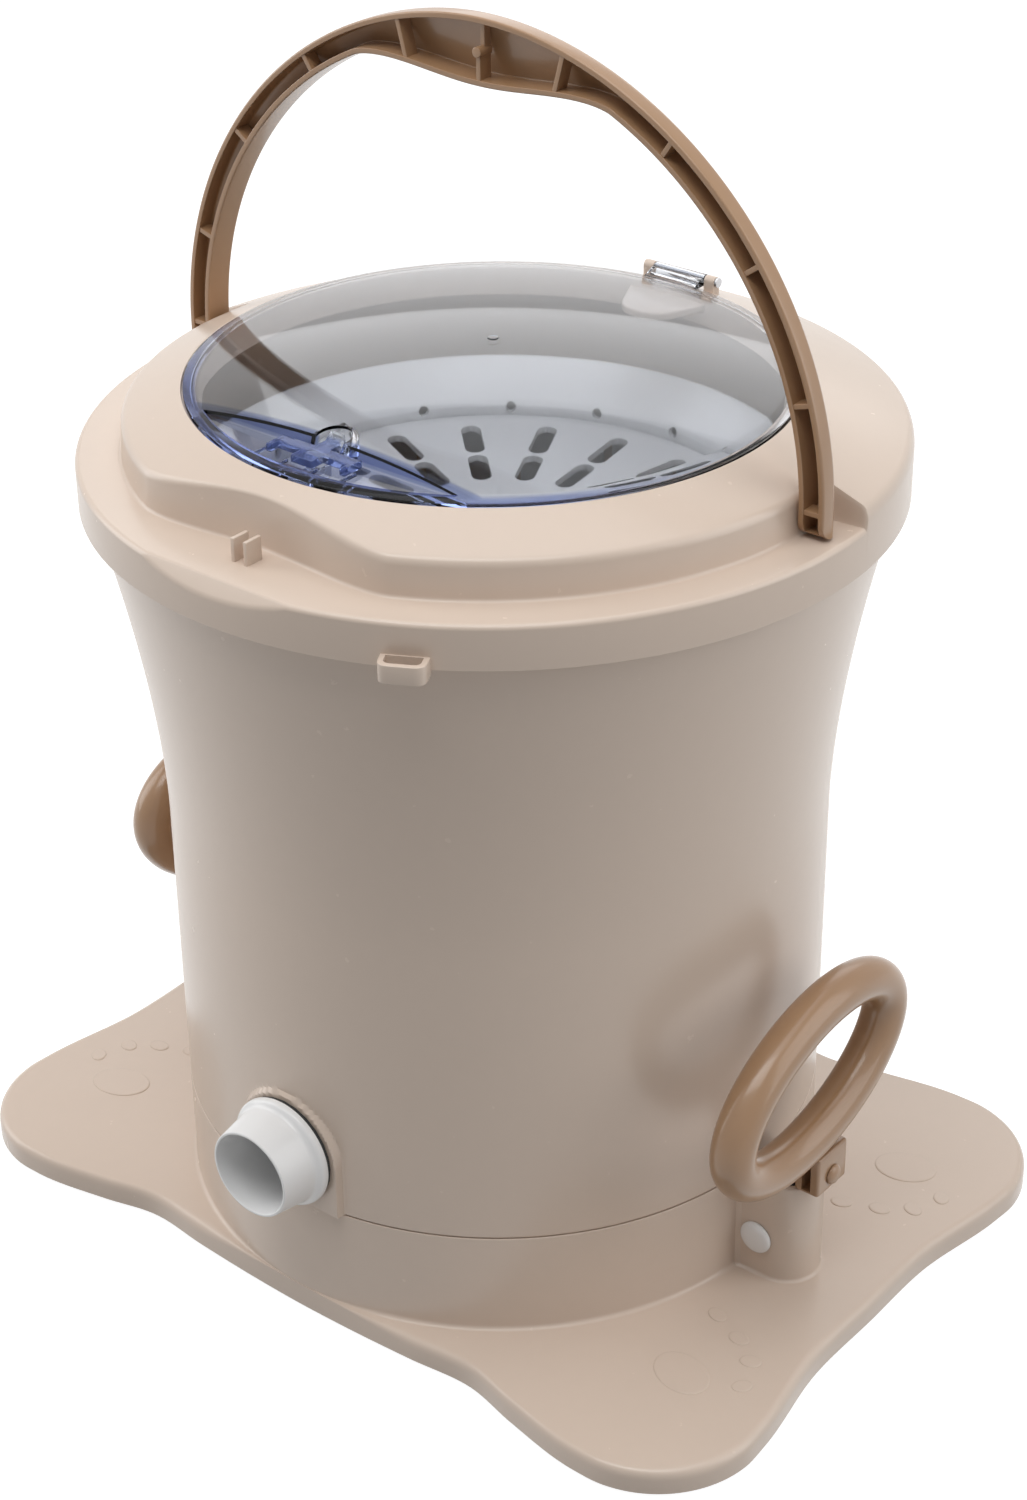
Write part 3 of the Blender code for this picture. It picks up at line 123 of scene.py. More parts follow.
# Unit normals of a closed flat curve that runs anticlockwise, pointing out.
def outwardNormals(curve):
    along = np.roll(curve, -1, 0) - np.roll(curve, 1, 0)
    along /= np.linalg.norm(along, axis=1)[:, None]
    return np.stack([along[:, 1], -along[:, 0]], 1)


def newMesh(name, vertices, faces):
    mesh = bpy.data.meshes.new(name)
    mesh.from_pydata(np.asarray(vertices, float).reshape(-1, 3).tolist(), [], faces)
    form = bmesh.new()
    form.from_mesh(mesh)
    bmesh.ops.remove_doubles(form, verts=form.verts, dist=0.002 * mm)
    bmesh.ops.recalc_face_normals(form, faces=form.faces)
    form.to_mesh(mesh)
    form.free()
    thing = bpy.data.objects.new(name, mesh)
    bpy.context.scene.collection.objects.link(thing)
    return thing


# A surface from a grid of points, rows by columns. Columns close round, rows may too, or else get end caps.
def gridPiece(name, grid, ringRows=False, caps=True):
    rows, columns = grid.shape[:2]
    index = np.arange(rows * columns).reshape(rows, columns)
    index = np.hstack([index, index[:, :1]])
    if ringRows:
        index = np.vstack([index, index[:1]])
    quads = np.stack([index[:-1, :-1], index[:-1, 1:], index[1:, 1:], index[1:, :-1]], -1)
    faces = quads.reshape(-1, 4).tolist()
    if caps and not ringRows:
        faces += [index[0, :-1][::-1].tolist(), index[-1, :-1].tolist()]
    return newMesh(name, grid, faces)


# A section of (radius, height) carried round Z: x = r sin(a), y = -r cos(a), so angle 0 faces the drain.
def turnedGrid(section, angles):
    section = np.asarray(section, float)
    radius, height = section[:, 0, None], section[:, 1, None]
    return np.stack([radius * np.sin(angles), -radius * np.cos(angles), height + 0 * angles], -1)


def fullTurn(count):
    return np.arange(count) / count * 2 * math.pi


def turnedPiece(name, corners, reaches, count=160, steps=6, poles=False):
    section = roundedLoop(corners, reaches, steps)
    return gridPiece(name, turnedGrid(section, fullTurn(count)), ringRows=not poles, caps=False)


# A flat outline drawn along one axis between two levels, with its rims rounded by a radius.
def slabPiece(name, outline, low, high, rounding=0.0, axis="z", steps=4):
    outline = np.asarray(outline, float)
    normals = outwardNormals(outline)
    turns = np.linspace(0, math.pi / 2, steps) if rounding else np.zeros(1)
    inset = rounding * (1 - np.sin(turns))
    lift = rounding * (1 - np.cos(turns))
    insets = np.concatenate([inset, inset[::-1]])
    levels = np.concatenate([low + lift, (high - lift)[::-1]])
    flat = outline[None] - normals[None] * insets[:, None, None]
    level = np.broadcast_to(levels[:, None], flat.shape[:2])
    across, along = flat[..., 0], flat[..., 1]
    order = {"z": (across, along, level), "y": (across, level, along), "x": (level, across, along)}[axis]
    return gridPiece(name, np.stack(order, -1))


def roundedBlock(name, low, high, rounding=0.3 * mm):
    low, high = np.array(low, float), np.array(high, float)
    corners = [(low[0], low[1]), (high[0], low[1]), (high[0], high[1]), (low[0], high[1])]
    outline = roundedLoop(corners, [rounding] * 4, 4)
    return slabPiece(name, outline, low[2], high[2], rounding * 0.7)


def circle(centre, radius, count=48, start=0.0):
    angles = start + fullTurn(count)
    return np.stack([centre[0] + radius * np.cos(angles), centre[1] + radius * np.sin(angles)], 1)


def moved(thing, matrix):
    grid = np.empty(len(thing.data.vertices) * 3)
    thing.data.vertices.foreach_get("co", grid)
    points = np.c_[grid.reshape(-1, 3), np.ones(len(grid) // 3)] @ np.asarray(matrix, float).T
    thing.data.vertices.foreach_set("co", points[:, :3].ravel())
    thing.data.update()
    return thing


def turnAbout(axis, degrees, centre=(0, 0, 0)):
    a = math.radians(degrees)
    c, s = math.cos(a), math.sin(a)
    turn = {
        "x": [[1, 0, 0], [0, c, -s], [0, s, c]],
        "y": [[c, 0, s], [0, 1, 0], [-s, 0, c]],
        "z": [[c, -s, 0], [s, c, 0], [0, 0, 1]],
    }[axis]
    matrix = np.eye(4)
    matrix[:3, :3] = turn
    centre = np.array(centre, float)
    matrix[:3, 3] = centre - matrix[:3, :3] @ centre
    return matrix


def shift(x=0.0, y=0.0, z=0.0):
    matrix = np.eye(4)
    matrix[:3, 3] = (x, y, z)
    return matrix


# Adds others to a piece, or cuts them from it, and leaves one plain mesh.
def combined(thing, others, operation="UNION"):
    for other in others:
        step = thing.modifiers.new("step", "BOOLEAN")
        step.operation = operation
        step.solver = "EXACT"
        step.object = other
    bpy.context.view_layer.update()
    graph = bpy.context.evaluated_depsgraph_get()
    made = bpy.data.meshes.new_from_object(thing.evaluated_get(graph))
    thing.modifiers.clear()
    old = thing.data
    thing.data = made
    made.name = thing.name
    bpy.data.meshes.remove(old)
    for other in others:
        bpy.data.objects.remove(other, do_unlink=True)
    return thing


def cutBy(thing, others):
    return combined(thing, others, "DIFFERENCE")


def dress(thing, coat, body, nodes=(), sharp=32):
    thing.data.materials.clear()
    thing.data.materials.append(coat)
    thing.data.shade_smooth()
    thing.data.set_sharp_from_angle(angle=math.radians(sharp))
    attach(thing, body)
    if nodes:
        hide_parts(*nodes)
    return thing


# A shader node of a kind. Each socket gets a value, or a link if what it gets is another node's socket.
def addNode(tree, kind, sockets=None, **settings):
    node = tree.nodes.new("ShaderNode" + kind)
    for setting, value in settings.items():
        setattr(node, setting, value)
    return feed(tree, node, sockets or {})


def feed(tree, node, sockets):
    for socket, value in sockets.items():
        if isinstance(value, bpy.types.NodeSocket):
            tree.links.new(value, node.inputs[socket])
        else:
            node.inputs[socket].default_value = value
    return node


def mathNode(tree, operation, first, second):
    return addNode(tree, "Math", {0: first, 1: second}, operation=operation).outputs[0]


# Value is mapped evenly from one span to another, and held at its ends.
def mapped(tree, value, start=0.0, end=1.0, low=0.0, high=1.0):
    sockets = {"Value": value, "From Min": start, "From Max": end, "To Min": low, "To Max": high}
    return addNode(tree, "MapRange", sockets).outputs[0]


def noise(tree, place, scale, detail=2.0):
    sockets = {"Vector": place, "Scale": scale, "Detail": detail}
    return addNode(tree, "TexNoise", sockets).outputs["Fac"]


# A ramp between two colours, with its ends at two shares.
def toneRamp(tree, share, low, high, ends=(0, 1), ease="LINEAR"):
    node = addNode(tree, "ValToRGB", {"Fac": share})
    node.color_ramp.interpolation = ease
    for element, colour, end in zip(node.color_ramp.elements, (low, high), ends):
        element.position = end
        element.color = (*colour, 1)
    return node.outputs["Color"]


def bumpNode(tree, height, strength, distance):
    return addNode(tree, "Bump", {"Height": height, "Strength": strength, "Distance": distance}).outputs[0]


# 1 for a ray that shows a surface to the camera, straight, in a gloss or through clear plastic.
def seenRays(tree, path):
    direct = mathNode(tree, "MAXIMUM", path.outputs["Is Camera Ray"], path.outputs["Is Glossy Ray"])
    return mathNode(tree, "MAXIMUM", direct, path.outputs["Is Transmission Ray"])


def newFinish(name):
    made = bpy.data.materials.new(name)
    made.use_nodes = True
    tree = made.node_tree
    place = addNode(tree, "TexCoord").outputs["Object"]
    return made, tree, tree.nodes["Principled BSDF"], place


# Camera, floor, backdrop and lamps

cameraPlace = {
    "location": (0.6389, -0.7790, 0.7799),
    "turn": (59.926, 0.590, 38.691),
    "focal": 70.73,
    "sensor": 36,
}

camera = bpy.data.objects.new("camera", bpy.data.cameras.new("camera"))
bpy.context.scene.collection.objects.link(camera)
camera.location = cameraPlace["location"]
camera.rotation_euler = [math.radians(a) for a in cameraPlace["turn"]]
camera.data.sensor_fit = "VERTICAL"
camera.data.sensor_height = cameraPlace["sensor"]
camera.data.lens = cameraPlace["focal"]
camera.data.clip_start = 0.01
bpy.context.scene.camera = camera

# Each lamp: its place, what it faces, its size in metres and its power in watts
lamps = {
    "overhead": ((-0.1, 0.1, 1.9), (0, 0, 0.2), (1.6, 1.6), 9),
    "front": ((0.2, -0.65, 1.9), (0, 0, 0.2), (1.6, 0.7), 11.5),
    "left": ((-1.5, -0.6, 0.9), (0, 0, 0.25), (1.0, 1.6), 12),
    "right": ((1.4, 0.6, 0.9), (0, 0, 0.25), (1.2, 1.6), 10),
    "back": ((-0.9, 1.5, 1.2), (0, 0, 0.3), (1.6, 0.8), 4.0),
}
studio = {
    "worldFill": 0.22,
    "floorBounce": 0.42,
    "floorShown": 0.3,
    "floorGlow": 0.95,
    "floorReach": 12,
}


def addLamp(name, place, target, size, power):
    lamp = bpy.data.lights.new(name, "AREA")
    lamp.shape = "RECTANGLE"
    lamp.size, lamp.size_y = size
    lamp.energy = power
    thing = bpy.data.objects.new(name, lamp)
    bpy.context.scene.collection.objects.link(thing)
    thing.location = place
    way = np.array(target, float) - np.array(place, float)
    yaw = math.atan2(-way[0], way[1])
    pitch = math.atan2(math.hypot(way[0], way[1]), -way[2])
    thing.rotation_euler = (pitch, 0, yaw)


for lampName, values in lamps.items():
    addLamp(lampName, *values)


# The sky is white where it is seen. Light that has left a matt surface finds it dim, also through the window.
def makeWorld():
    world = bpy.data.worlds.new("studio")
    bpy.context.scene.world = world
    world.use_nodes = True
    tree = world.node_tree
    path = addNode(tree, "LightPath")
    early = mathNode(tree, "LESS_THAN", path.outputs["Diffuse Depth"], 0.5)
    bright = mathNode(tree, "MULTIPLY", seenRays(tree, path), early)
    strength = mapped(tree, bright, low=studio["worldFill"])
    feed(tree, tree.nodes["Background"], {"Color": (1, 1, 1, 1), "Strength": strength})


# The floor is a wide sheet that is drawn white but throws back only part of its light, and keeps a shadow.
def makeFloor():
    reach = studio["floorReach"]
    corners = [(-reach, -reach, 0), (reach, -reach, 0), (reach, reach, 0), (-reach, reach, 0)]
    floor = newMesh("floor", corners, [[0, 1, 2, 3]])
    coat = bpy.data.materials.new("floor_paper")
    coat.use_nodes = True
    tree = coat.node_tree
    tree.nodes.clear()
    paper, shown = (
        addNode(tree, "BsdfDiffuse", {"Color": (studio[tone],) * 3 + (1,)}).outputs[0]
        for tone in ("floorBounce", "floorShown")
    )
    glow = addNode(tree, "Emission", {"Strength": studio["floorGlow"]}).outputs[0]
    lit = addNode(tree, "AddShader", {0: shown, 1: glow}).outputs[0]
    seen = seenRays(tree, addNode(tree, "LightPath"))
    mixed = addNode(tree, "MixShader", {0: seen, 1: paper, 2: lit}).outputs[0]
    addNode(tree, "OutputMaterial", {"Surface": mixed})
    floor.data.materials.append(coat)


makeWorld()
makeFloor()
bpy.context.scene.view_settings.view_transform = "Standard"
print("camera, floor and lamps")

# Finishes


# A moulded plastic: base colour with faint drifts, a roughness that wanders a little, and a fine orange-peel bump.
def mouldedPlastic(name, colour, roughness, drift, peel, peelScale, coat=0.0):
    made, tree, shader, place = newFinish(name)
    cloud = noise(tree, place, 160, 3)
    low = [c * (1 - drift) for c in colour]
    high = [min(c * (1 + drift), 1) for c in colour]
    sockets = {
        "Base Color": toneRamp(tree, cloud, low, high, (0.1, 0.9), "EASE"),
        "Roughness": mapped(tree, cloud, low=roughness * 0.97, high=roughness * 1.03),
        "Normal": bumpNode(tree, noise(tree, place, peelScale), peel, 0.2 * mm),
        "Coat Weight": coat,
        "Coat Roughness": 0.08,
    }
    feed(tree, shader, sockets)
    return made


beige = mouldedPlastic("beige_plastic", (0.70, 0.575, 0.48), 0.27, 0.006, 0.02, 380)
brown = mouldedPlastic("brown_plastic", (0.385, 0.225, 0.12), 0.28, 0.012, 0.03, 520, 0.3)
white = mouldedPlastic("white_plastic", (0.89, 0.89, 0.89), 0.25, 0.004, 0.02, 400)
rubber = mouldedPlastic("black_rubber", (0.028, 0.028, 0.028), 0.75, 0.15, 0.3, 900)


clearTones = {
    "plain": (0.88, 0.905, 0.95, 1),
    "blue": (0.2, 0.26, 0.54, 1),
    "rimRadius": (109 * mm, 111 * mm),
    "rimY": (-10 * mm, -75 * mm),
    "pocketY": (-87.2 * mm, -88.5 * mm),
    "pocketHeight": (357.4 * mm, 358 * mm),
}


# A clear plastic: light passes with hardly a tint, and a blue tone gathers in the front rim and the pocket.
# The blue is rim share times front share, or pocket share times height share, whichever is more.
def clearPlastic(name, pocketShare, transmission=1.0, bending=1.3):
    made, tree, shader, place = newFinish(name)
    parts = addNode(tree, "SeparateXYZ", {0: place}).outputs
    flat = addNode(tree, "CombineXYZ", {"X": parts["X"], "Y": parts["Y"]}).outputs[0]
    reach = addNode(tree, "VectorMath", {0: flat}, operation="LENGTH").outputs["Value"]
    rim = mapped(tree, reach, *clearTones["rimRadius"])
    frontRim = mathNode(tree, "MULTIPLY", rim, mapped(tree, parts["Y"], *clearTones["rimY"]))
    pocket = mapped(tree, parts["Y"], *clearTones["pocketY"])
    above = mapped(tree, parts["Z"], *clearTones["pocketHeight"], low=pocketShare)
    blue = mathNode(tree, "MAXIMUM", frontRim, mathNode(tree, "MULTIPLY", pocket, above))
    # A colour mix takes its share at socket 0 and its two colours at sockets 6 and 7.
    tint = addNode(tree, "Mix", {0: blue, 6: clearTones["plain"], 7: clearTones["blue"]}, data_type="RGBA")
    sockets = {
        "Transmission Weight": transmission,
        "IOR": bending,
        "Base Color": tint.outputs[2],
        "Roughness": mapped(tree, noise(tree, place, 60), low=0.015, high=0.045),
    }
    feed(tree, shader, sockets)
    return made


clear = clearPlastic("clear_plastic", 0.5)
# The thick latch is drawn a little milky, which keeps its inside from going black.
clearLatch = clearPlastic("clear_latch", 0, 0.78, 1.15)


# A turned metal: fine rings of brightness and roughness about Z, from a noise that is stretched along the surface.
def turnedMetal(name, colour, roughness, grain=260):
    made, tree, shader, place = newFinish(name)
    stretched = addNode(tree, "Mapping", {"Vector": place, "Scale": (0.15, 0.15, 1)}).outputs[0]
    streak = noise(tree, stretched, grain, 4)
    low = [c * 0.82 for c in colour]
    high = [min(c * 1.12, 1) for c in colour]
    sockets = {
        "Metallic": 1,
        "Base Color": toneRamp(tree, streak, low, high),
        "Roughness": mapped(tree, streak, low=roughness * 0.7, high=roughness * 1.3),
    }
    feed(tree, shader, sockets)
    return made


steel = turnedMetal("plain_steel", (0.56, 0.56, 0.57), 0.28)
brass = turnedMetal("sintered_bronze", (0.6, 0.42, 0.17), 0.42, 900)


# A braided cord: two crossing sets of slanted strands, from the height and the angle round the cord.
def braidedCord():
    made, tree, shader, place = newFinish("braided_rope")
    strands = []
    for slant in (math.radians(38), -math.radians(38)):
        turned = addNode(tree, "Mapping", {"Vector": place, "Rotation": (0, slant, slant)}).outputs[0]
        wave = addNode(tree, "TexWave", {"Vector": turned, "Scale": 520, "Distortion": 0.6})
        strands.append(wave.outputs["Fac"])
    over = mathNode(tree, "MAXIMUM", *strands)
    sockets = {
        "Base Color": toneRamp(tree, over, (0.008, 0.008, 0.009), (0.035, 0.035, 0.04)),
        "Roughness": 0.9,
        "Sheen Weight": 0.3,
        "Normal": bumpNode(tree, over, 0.8, 0.3 * mm),
    }
    feed(tree, shader, sockets)
    return made


rope = braidedCord()
print("finishes")

# Base: a four-lobed plate with a ring for the tub and two rope housings

base = {
    "halfLength": 185 * mm,
    "lobeRadius": 45.2 * mm,
    "lobeCentre": (147.5 * mm, 92.5 * mm),
    "sideY": 130.8 * mm,
    "waistDrop": 4.2 * mm,
    "footLift": 2 * mm,
    "edgeRound": 4.2 * mm,
    "fillet": 2.2 * mm,
    "plateWall": 3 * mm,
    "skirtWall": 2.5 * mm,
    "ringWall": 3 * mm,
    "openingRadius": 116 * mm,
    "housingHalf": 14 * mm,
    "housingReach": 158 * mm,
    "housingTop": 58.5 * mm,
    "housingRound": 0.9 * mm,
    "housingFillet": 1.6 * mm,
    "wellFloor": 15 * mm,
    "slotHalf": 9 * mm,
    "slotTop": 44 * mm,
    "rollerX": 139 * mm,
    "rollerHeight": 30.6 * mm,
    "axle": 2.7 * mm,
    "printRise": 0.35 * mm,
    "ribReach": 32 * mm,
    "ribHalf": 1 * mm,
    "ribDepth": 4.5 * mm,
    "bossRadius": 5.5 * mm,
    "footHole": 3.3 * mm,
    "postRadius": 3.5 * mm,
    "postHole": 1.8 * mm,
    "footPlace": (150 * mm, 95 * mm),
    "screwPlace": (85.5 * mm, 85.5 * mm),
    # Each raised oval near a corner: its centre and half axes in mm, and its tilt
    "prints": (
        ((150.5, 79.5), (13, 9.5), 18),
        ((142, 44), (4.6, 3.2), 20),
        ((156.5, 50), (4.6, 3.4), 8),
        ((167.5, 58), (4.4, 3.4), -20),
        ((172.8, 71.3), (4.2, 3.3), -50),
    ),
}


# A quarter of the plate: a straight end, a round lobe and a waist that is drawn in, then mirrored twice.
def plateOutline():
    lobe = np.radians(np.linspace(-10, 95, 8))
    arcPoints = np.stack([np.cos(lobe), np.sin(lobe)], 1) * base["lobeRadius"] + base["lobeCentre"]
    body, sideY, drop = common["body"], base["sideY"], base["waistDrop"]
    quarter = [(base["halfLength"], 0), (base["halfLength"], base["lobeRadius"] * 0.85), *arcPoints.tolist()]
    quarter += [(base["lobeCentre"][0] - base["lobeRadius"] * 0.85, sideY + base["lobeRadius"] * 0.03)]
    quarter += [(body * 0.65, sideY - drop), (body * 0.43, sideY - drop / 2)]
    quarter += [(body * 0.2, sideY - drop / 8), (0, sideY)]
    upper = quarter + [(-x, y) for x, y in quarter[-2::-1]]
    return smoothLoop(upper + [(-x, -y) for x, y in upper[1:-1]], 12)


# The U of a housing in plan: straight sides, a round outer end and small fillets where it meets the ring.
def housingOutline(half, inner, end, flare=0.0):
    turns = np.linspace(-math.pi / 2, math.pi / 2, 25)
    nose = np.stack([end - half + half * np.cos(turns), half * np.sin(turns)], 1)
    body = common["body"]
    low = [(inner, -half - flare), (body + 0.4 * mm, -half - flare * 0.5), (body + flare, -half)]
    return np.array(low + nose.tolist() + [(x, -y) for x, y in reversed(low)])


def makeBase():
    outline = plateOutline()
    normals = outwardNormals(outline)
    theta = np.arctan2(outline[:, 1], outline[:, 0])
    ray = np.stack([np.cos(theta), np.sin(theta)], 1)
    gap = np.linalg.norm(outline, axis=1) - common["body"]

    def at(flat, height):
        return np.c_[flat, np.full(len(flat), height)]

    top, under = common["plateTop"], common["plateTop"] - base["plateWall"]
    inner = outline - normals * base["skirtWall"]
    ringIn = common["body"] - base["ringWall"]
    corners = np.stack(
        [
            at(inner, base["footLift"]),
            at(outline, base["footLift"]),
            at(outline, top),
            at(ray * common["body"], top),
            at(ray * common["body"], common["seam"]),
            at(ray * ringIn, common["seam"]),
            at(ray * ringIn, top),
            at(ray * base["openingRadius"], top),
            at(ray * base["openingRadius"], under),
            at(inner, under),
        ],
        1,
    )
    edge = np.minimum(base["edgeRound"], gap * 0.6 + 0.4 * mm)
    fillet = np.minimum(base["fillet"], gap * 0.4 + 0.1 * mm)
    reaches = [0.3 * mm, 0.5 * mm, edge, fillet, 0.5 * mm, 0.3 * mm, 0, 0.3 * mm, 0.3 * mm, 0.6 * mm]
    rows = roundedLoop(corners, reaches, 8)
    plate = gridPiece("base_moulding", rows.transpose(1, 0, 2), ringRows=True)
    additions, cuts = [], []
    for turn in (0, 180):
        heights = [(top - 1 * mm, base["housingFillet"]), (top + 0.02 * mm, base["housingFillet"])]
        heights += [
            (top + base["housingFillet"] * (1 - math.cos(a)), base["housingFillet"] * (1 - math.sin(a)))
            for a in np.linspace(0.15, math.pi / 2, 6)
        ]
        rim = base["housingTop"]
        heights += [
            (rim - base["housingRound"] * (1 - math.sin(a)), -base["housingRound"] * (1 - math.cos(a)))
            for a in np.linspace(0, math.pi / 2, 6)
        ]
        plain = housingOutline(base["housingHalf"], common["body"] - 1.5 * mm, base["housingReach"], 1.2 * mm)
        plainNormals = outwardNormals(plain)
        plainNormals[[0, -1], 0] = 0
        shell = np.stack([np.c_[plain + plainNormals * grow, np.full(len(plain), z)] for z, grow in heights])
        additions.append(moved(gridPiece(f"housing_{turn}", shell), turnAbout("z", turn)))
        well = housingOutline(
            base["housingHalf"] - base["plateWall"],
            common["body"] + 0.3 * mm,
            base["housingReach"] - base["plateWall"],
        )
        wellNormals = outwardNormals(well)
        depths = [(base["wellFloor"], 0), (rim - 0.7 * mm, 0), (rim - 0.2 * mm, 0.15 * mm)]
        depths += [(rim, 0.6 * mm), (rim + 2 * mm, 0.6 * mm)]
        hollow = np.stack([np.c_[well + wellNormals * grow, np.full(len(well), z)] for z, grow in depths])
        cuts.append(moved(gridPiece(f"well_{turn}", hollow), turnAbout("z", turn)))
        slot = roundedBlock(
            f"rope_slot_{turn}",
            (ringIn - 2 * mm, -base["slotHalf"], base["wellFloor"]),
            (common["body"] + 2 * mm, base["slotHalf"], base["slotTop"]),
        )
        cuts.append(moved(slot, turnAbout("z", turn)))
        reach = base["housingHalf"]
        hole = slabPiece(
            f"pin_hole_{turn}",
            circle((base["rollerX"], base["rollerHeight"]), base["axle"], 24),
            -reach - 2 * mm,
            reach - 1.5 * mm,
            axis="y",
        )
        cuts.append(moved(hole, turnAbout("z", turn)))
    full = base["printRise"]
    rise = [(-0.4 * mm, 0), (full * 0.5, 0.1 * mm), (full, 0.45 * mm), (full, 0.9 * mm)]
    for i, (centre, axes, tilt) in enumerate(base["prints"]):
        for j, (flipX, flipY) in enumerate(((1, 1), (-1, 1), (-1, -1), (1, -1))):
            turns = fullTurn(40)
            c, s = math.cos(math.radians(tilt)), math.sin(math.radians(tilt))
            rows = []
            for height, inset in rise:
                a, b = (axes[0] * mm - inset) * np.cos(turns), (axes[1] * mm - inset) * np.sin(turns)
                x, y = centre[0] * mm + a * c - b * s, centre[1] * mm + a * s + b * c
                rows.append(np.stack([x * flipX, y * flipY, np.full(40, top + height)], 1))
            additions.append(gridPiece(f"print_{i}_{j}", np.stack(rows)))
    footX, footY = base["footPlace"]
    screwX, screwY = base["screwPlace"]
    for i, (sideX, sideY) in enumerate(((1, 1), (-1, 1), (-1, -1), (1, -1))):
        x, y = sideX * footX, sideY * footY
        reach, half = base["ribReach"], base["ribHalf"]
        low, high = under - base["ribDepth"], under + 1 * mm
        additions.append(roundedBlock(f"rib_{i}", (x - reach, y - half, low), (x + reach, y + half, high)))
        additions.append(roundedBlock(f"bar_{i}", (x - half, y - reach, low), (x + half, y + reach, high)))
        bossOutline = circle((x, y), base["bossRadius"], 32)
        additions.append(slabPiece(f"boss_{i}", bossOutline, base["footLift"] + 0.3 * mm, high, 0.3 * mm))
        cuts.append(slabPiece(f"foot_hole_{i}", circle((x, y), base["footHole"], 24), -2 * mm, under))
        x, y = sideX * screwX, sideY * screwY
        postOutline = circle((x, y), base["postRadius"], 32)
        additions.append(slabPiece(f"post_{i}", postOutline, under + 0.5 * mm, top + 9.5 * mm, 0.3 * mm))
        cuts.append(slabPiece(f"post_hole_{i}", circle((x, y), base["postHole"], 20), -2 * mm, top + 7 * mm))
    combined(plate, additions)
    seatOutline = circle((0, 0), common["body"] + 0.3 * mm, 256)
    seat = slabPiece("seam_cut", seatOutline, common["seam"] + 0.15 * mm, 70 * mm)
    cutBy(plate, [seat] + cuts)
    dress(plate, beige, "machine", ["base_plate"])


makeBase()
print("base")

# Tub: a flared shell with a flat pad for the drain and a round lip in the base ring

tub = {
    "flareStart": 184 * mm,
    "flareReach": 19.4 * mm,
    "flarePower": 1.7,
    "wall": 2.5 * mm,
    "seamGap": 0.6 * mm,
    "lipRadius": 127.2 * mm,
    "lipDepth": 8 * mm,
    "floorTop": 55.4 * mm,
    "floorWall": 3 * mm,
    "sleeveRadius": 12 * mm,
    "sleeveBore": 8.2 * mm,
    "sleeveLow": 50 * mm,
    "sleeveTop": 92 * mm,
    "rimRadius": 151.4 * mm,
    "rimLow": 323 * mm,
    "rimTop": 330.2 * mm,
    "padHalf": 24.4 * mm,
    "padFace": 131.8 * mm,
    "padHeight": 80.4 * mm,
    "padEdge": 0.8 * mm,
    "drainHole": 18.6 * mm,
}


# Outer radius at a height: straight, then body + reach t^1.7 above the start of the flare.
def flareRadius(height):
    t = np.clip((height - tub["flareStart"]) / (common["skirt"] - tub["flareStart"]), 0, None)
    return common["body"] + tub["flareReach"] * t ** tub["flarePower"]


def makeTub():
    low = common["seam"] + tub["seamGap"]
    straight = np.linspace(low + 1.2 * mm, 114 * mm, 40)
    heights = np.concatenate([straight, np.linspace(120 * mm, common["skirt"], 60)])
    outer = np.stack([flareRadius(heights), heights], 1)[::-1]
    lip, wall = tub["lipRadius"], tub["wall"]
    under = tub["floorTop"] - tub["floorWall"]
    inside = common["body"] - wall
    rim, rimTop, rimLow = tub["rimRadius"], tub["rimTop"], tub["rimLow"]
    top = [(rim - wall, rimTop), (rim, rimTop), (rim, rimLow)]
    foot = [(common["body"], low), (lip, low), (lip, common["seam"] - tub["lipDepth"])]
    foot += [(lip - wall, common["seam"] - tub["lipDepth"]), (lip - wall, under), (tub["sleeveRadius"], under)]
    foot += [(tub["sleeveRadius"], tub["sleeveLow"]), (tub["sleeveBore"], tub["sleeveLow"])]
    foot += [(tub["sleeveBore"], tub["sleeveTop"]), (tub["sleeveRadius"], tub["sleeveTop"])]
    foot += [(tub["sleeveRadius"], tub["floorTop"]), (inside, tub["floorTop"])]
    upward = heights[heights > tub["floorTop"] + 12 * mm][::4]
    inner = np.stack([flareRadius(upward) - wall, upward], 1)
    corners = top + outer.tolist() + foot + inner.tolist() + [(rim - wall, rimLow)]
    reaches = [0.6 * mm, 0.6 * mm, 0.4 * mm] + [0] * len(outer)
    reaches += [0.5 * mm, 0.3 * mm, 0.5 * mm, 0.5 * mm, 0.5 * mm, 1 * mm]
    reaches += [0.4 * mm, 0.4 * mm, 0.4 * mm, 0.4 * mm, 2 * mm, 7 * mm]
    reaches += [0] * len(inner) + [0.4 * mm]
    section = roundedLoop(corners, reaches, 5)
    front = np.radians(np.arange(-16, 16, 0.25))
    rest = np.radians(np.linspace(16, 344, 219)[:-1])
    angles = np.concatenate([front, rest])
    grid = turnedGrid(section, angles)
    radius, height = section[:, 0, None], section[:, 1, None]
    facing = np.where(np.abs(angles) < 1, angles, np.pi)[None]
    across = radius * np.sin(facing)
    above = np.maximum(height - tub["padHeight"], 0)
    distance = np.hypot(across, above) - tub["padHalf"]
    plane = tub["padFace"] / np.maximum(np.cos(facing), 0.5)
    isOuter = np.abs(radius - common["body"]) < 0.6 * mm
    share = (1 - smoothStep(distance, -tub["padEdge"], tub["padEdge"])) * isOuter * (np.abs(facing) < 1)
    grown = radius + np.maximum(plane - radius, 0) * share
    grid[..., 0] = grown * np.sin(angles)
    grid[..., 1] = -grown * np.cos(angles)
    shell = gridPiece("tub_moulding", grid, ringRows=True)
    holeOutline = circle((0, tub["padHeight"]), tub["drainHole"], 96)
    hole = slabPiece("drain_cut", holeOutline, -140 * mm, -118 * mm, axis="y")
    cutBy(shell, [hole])
    dress(shell, beige, "machine", ["tub"])


makeTub()
print("tub")

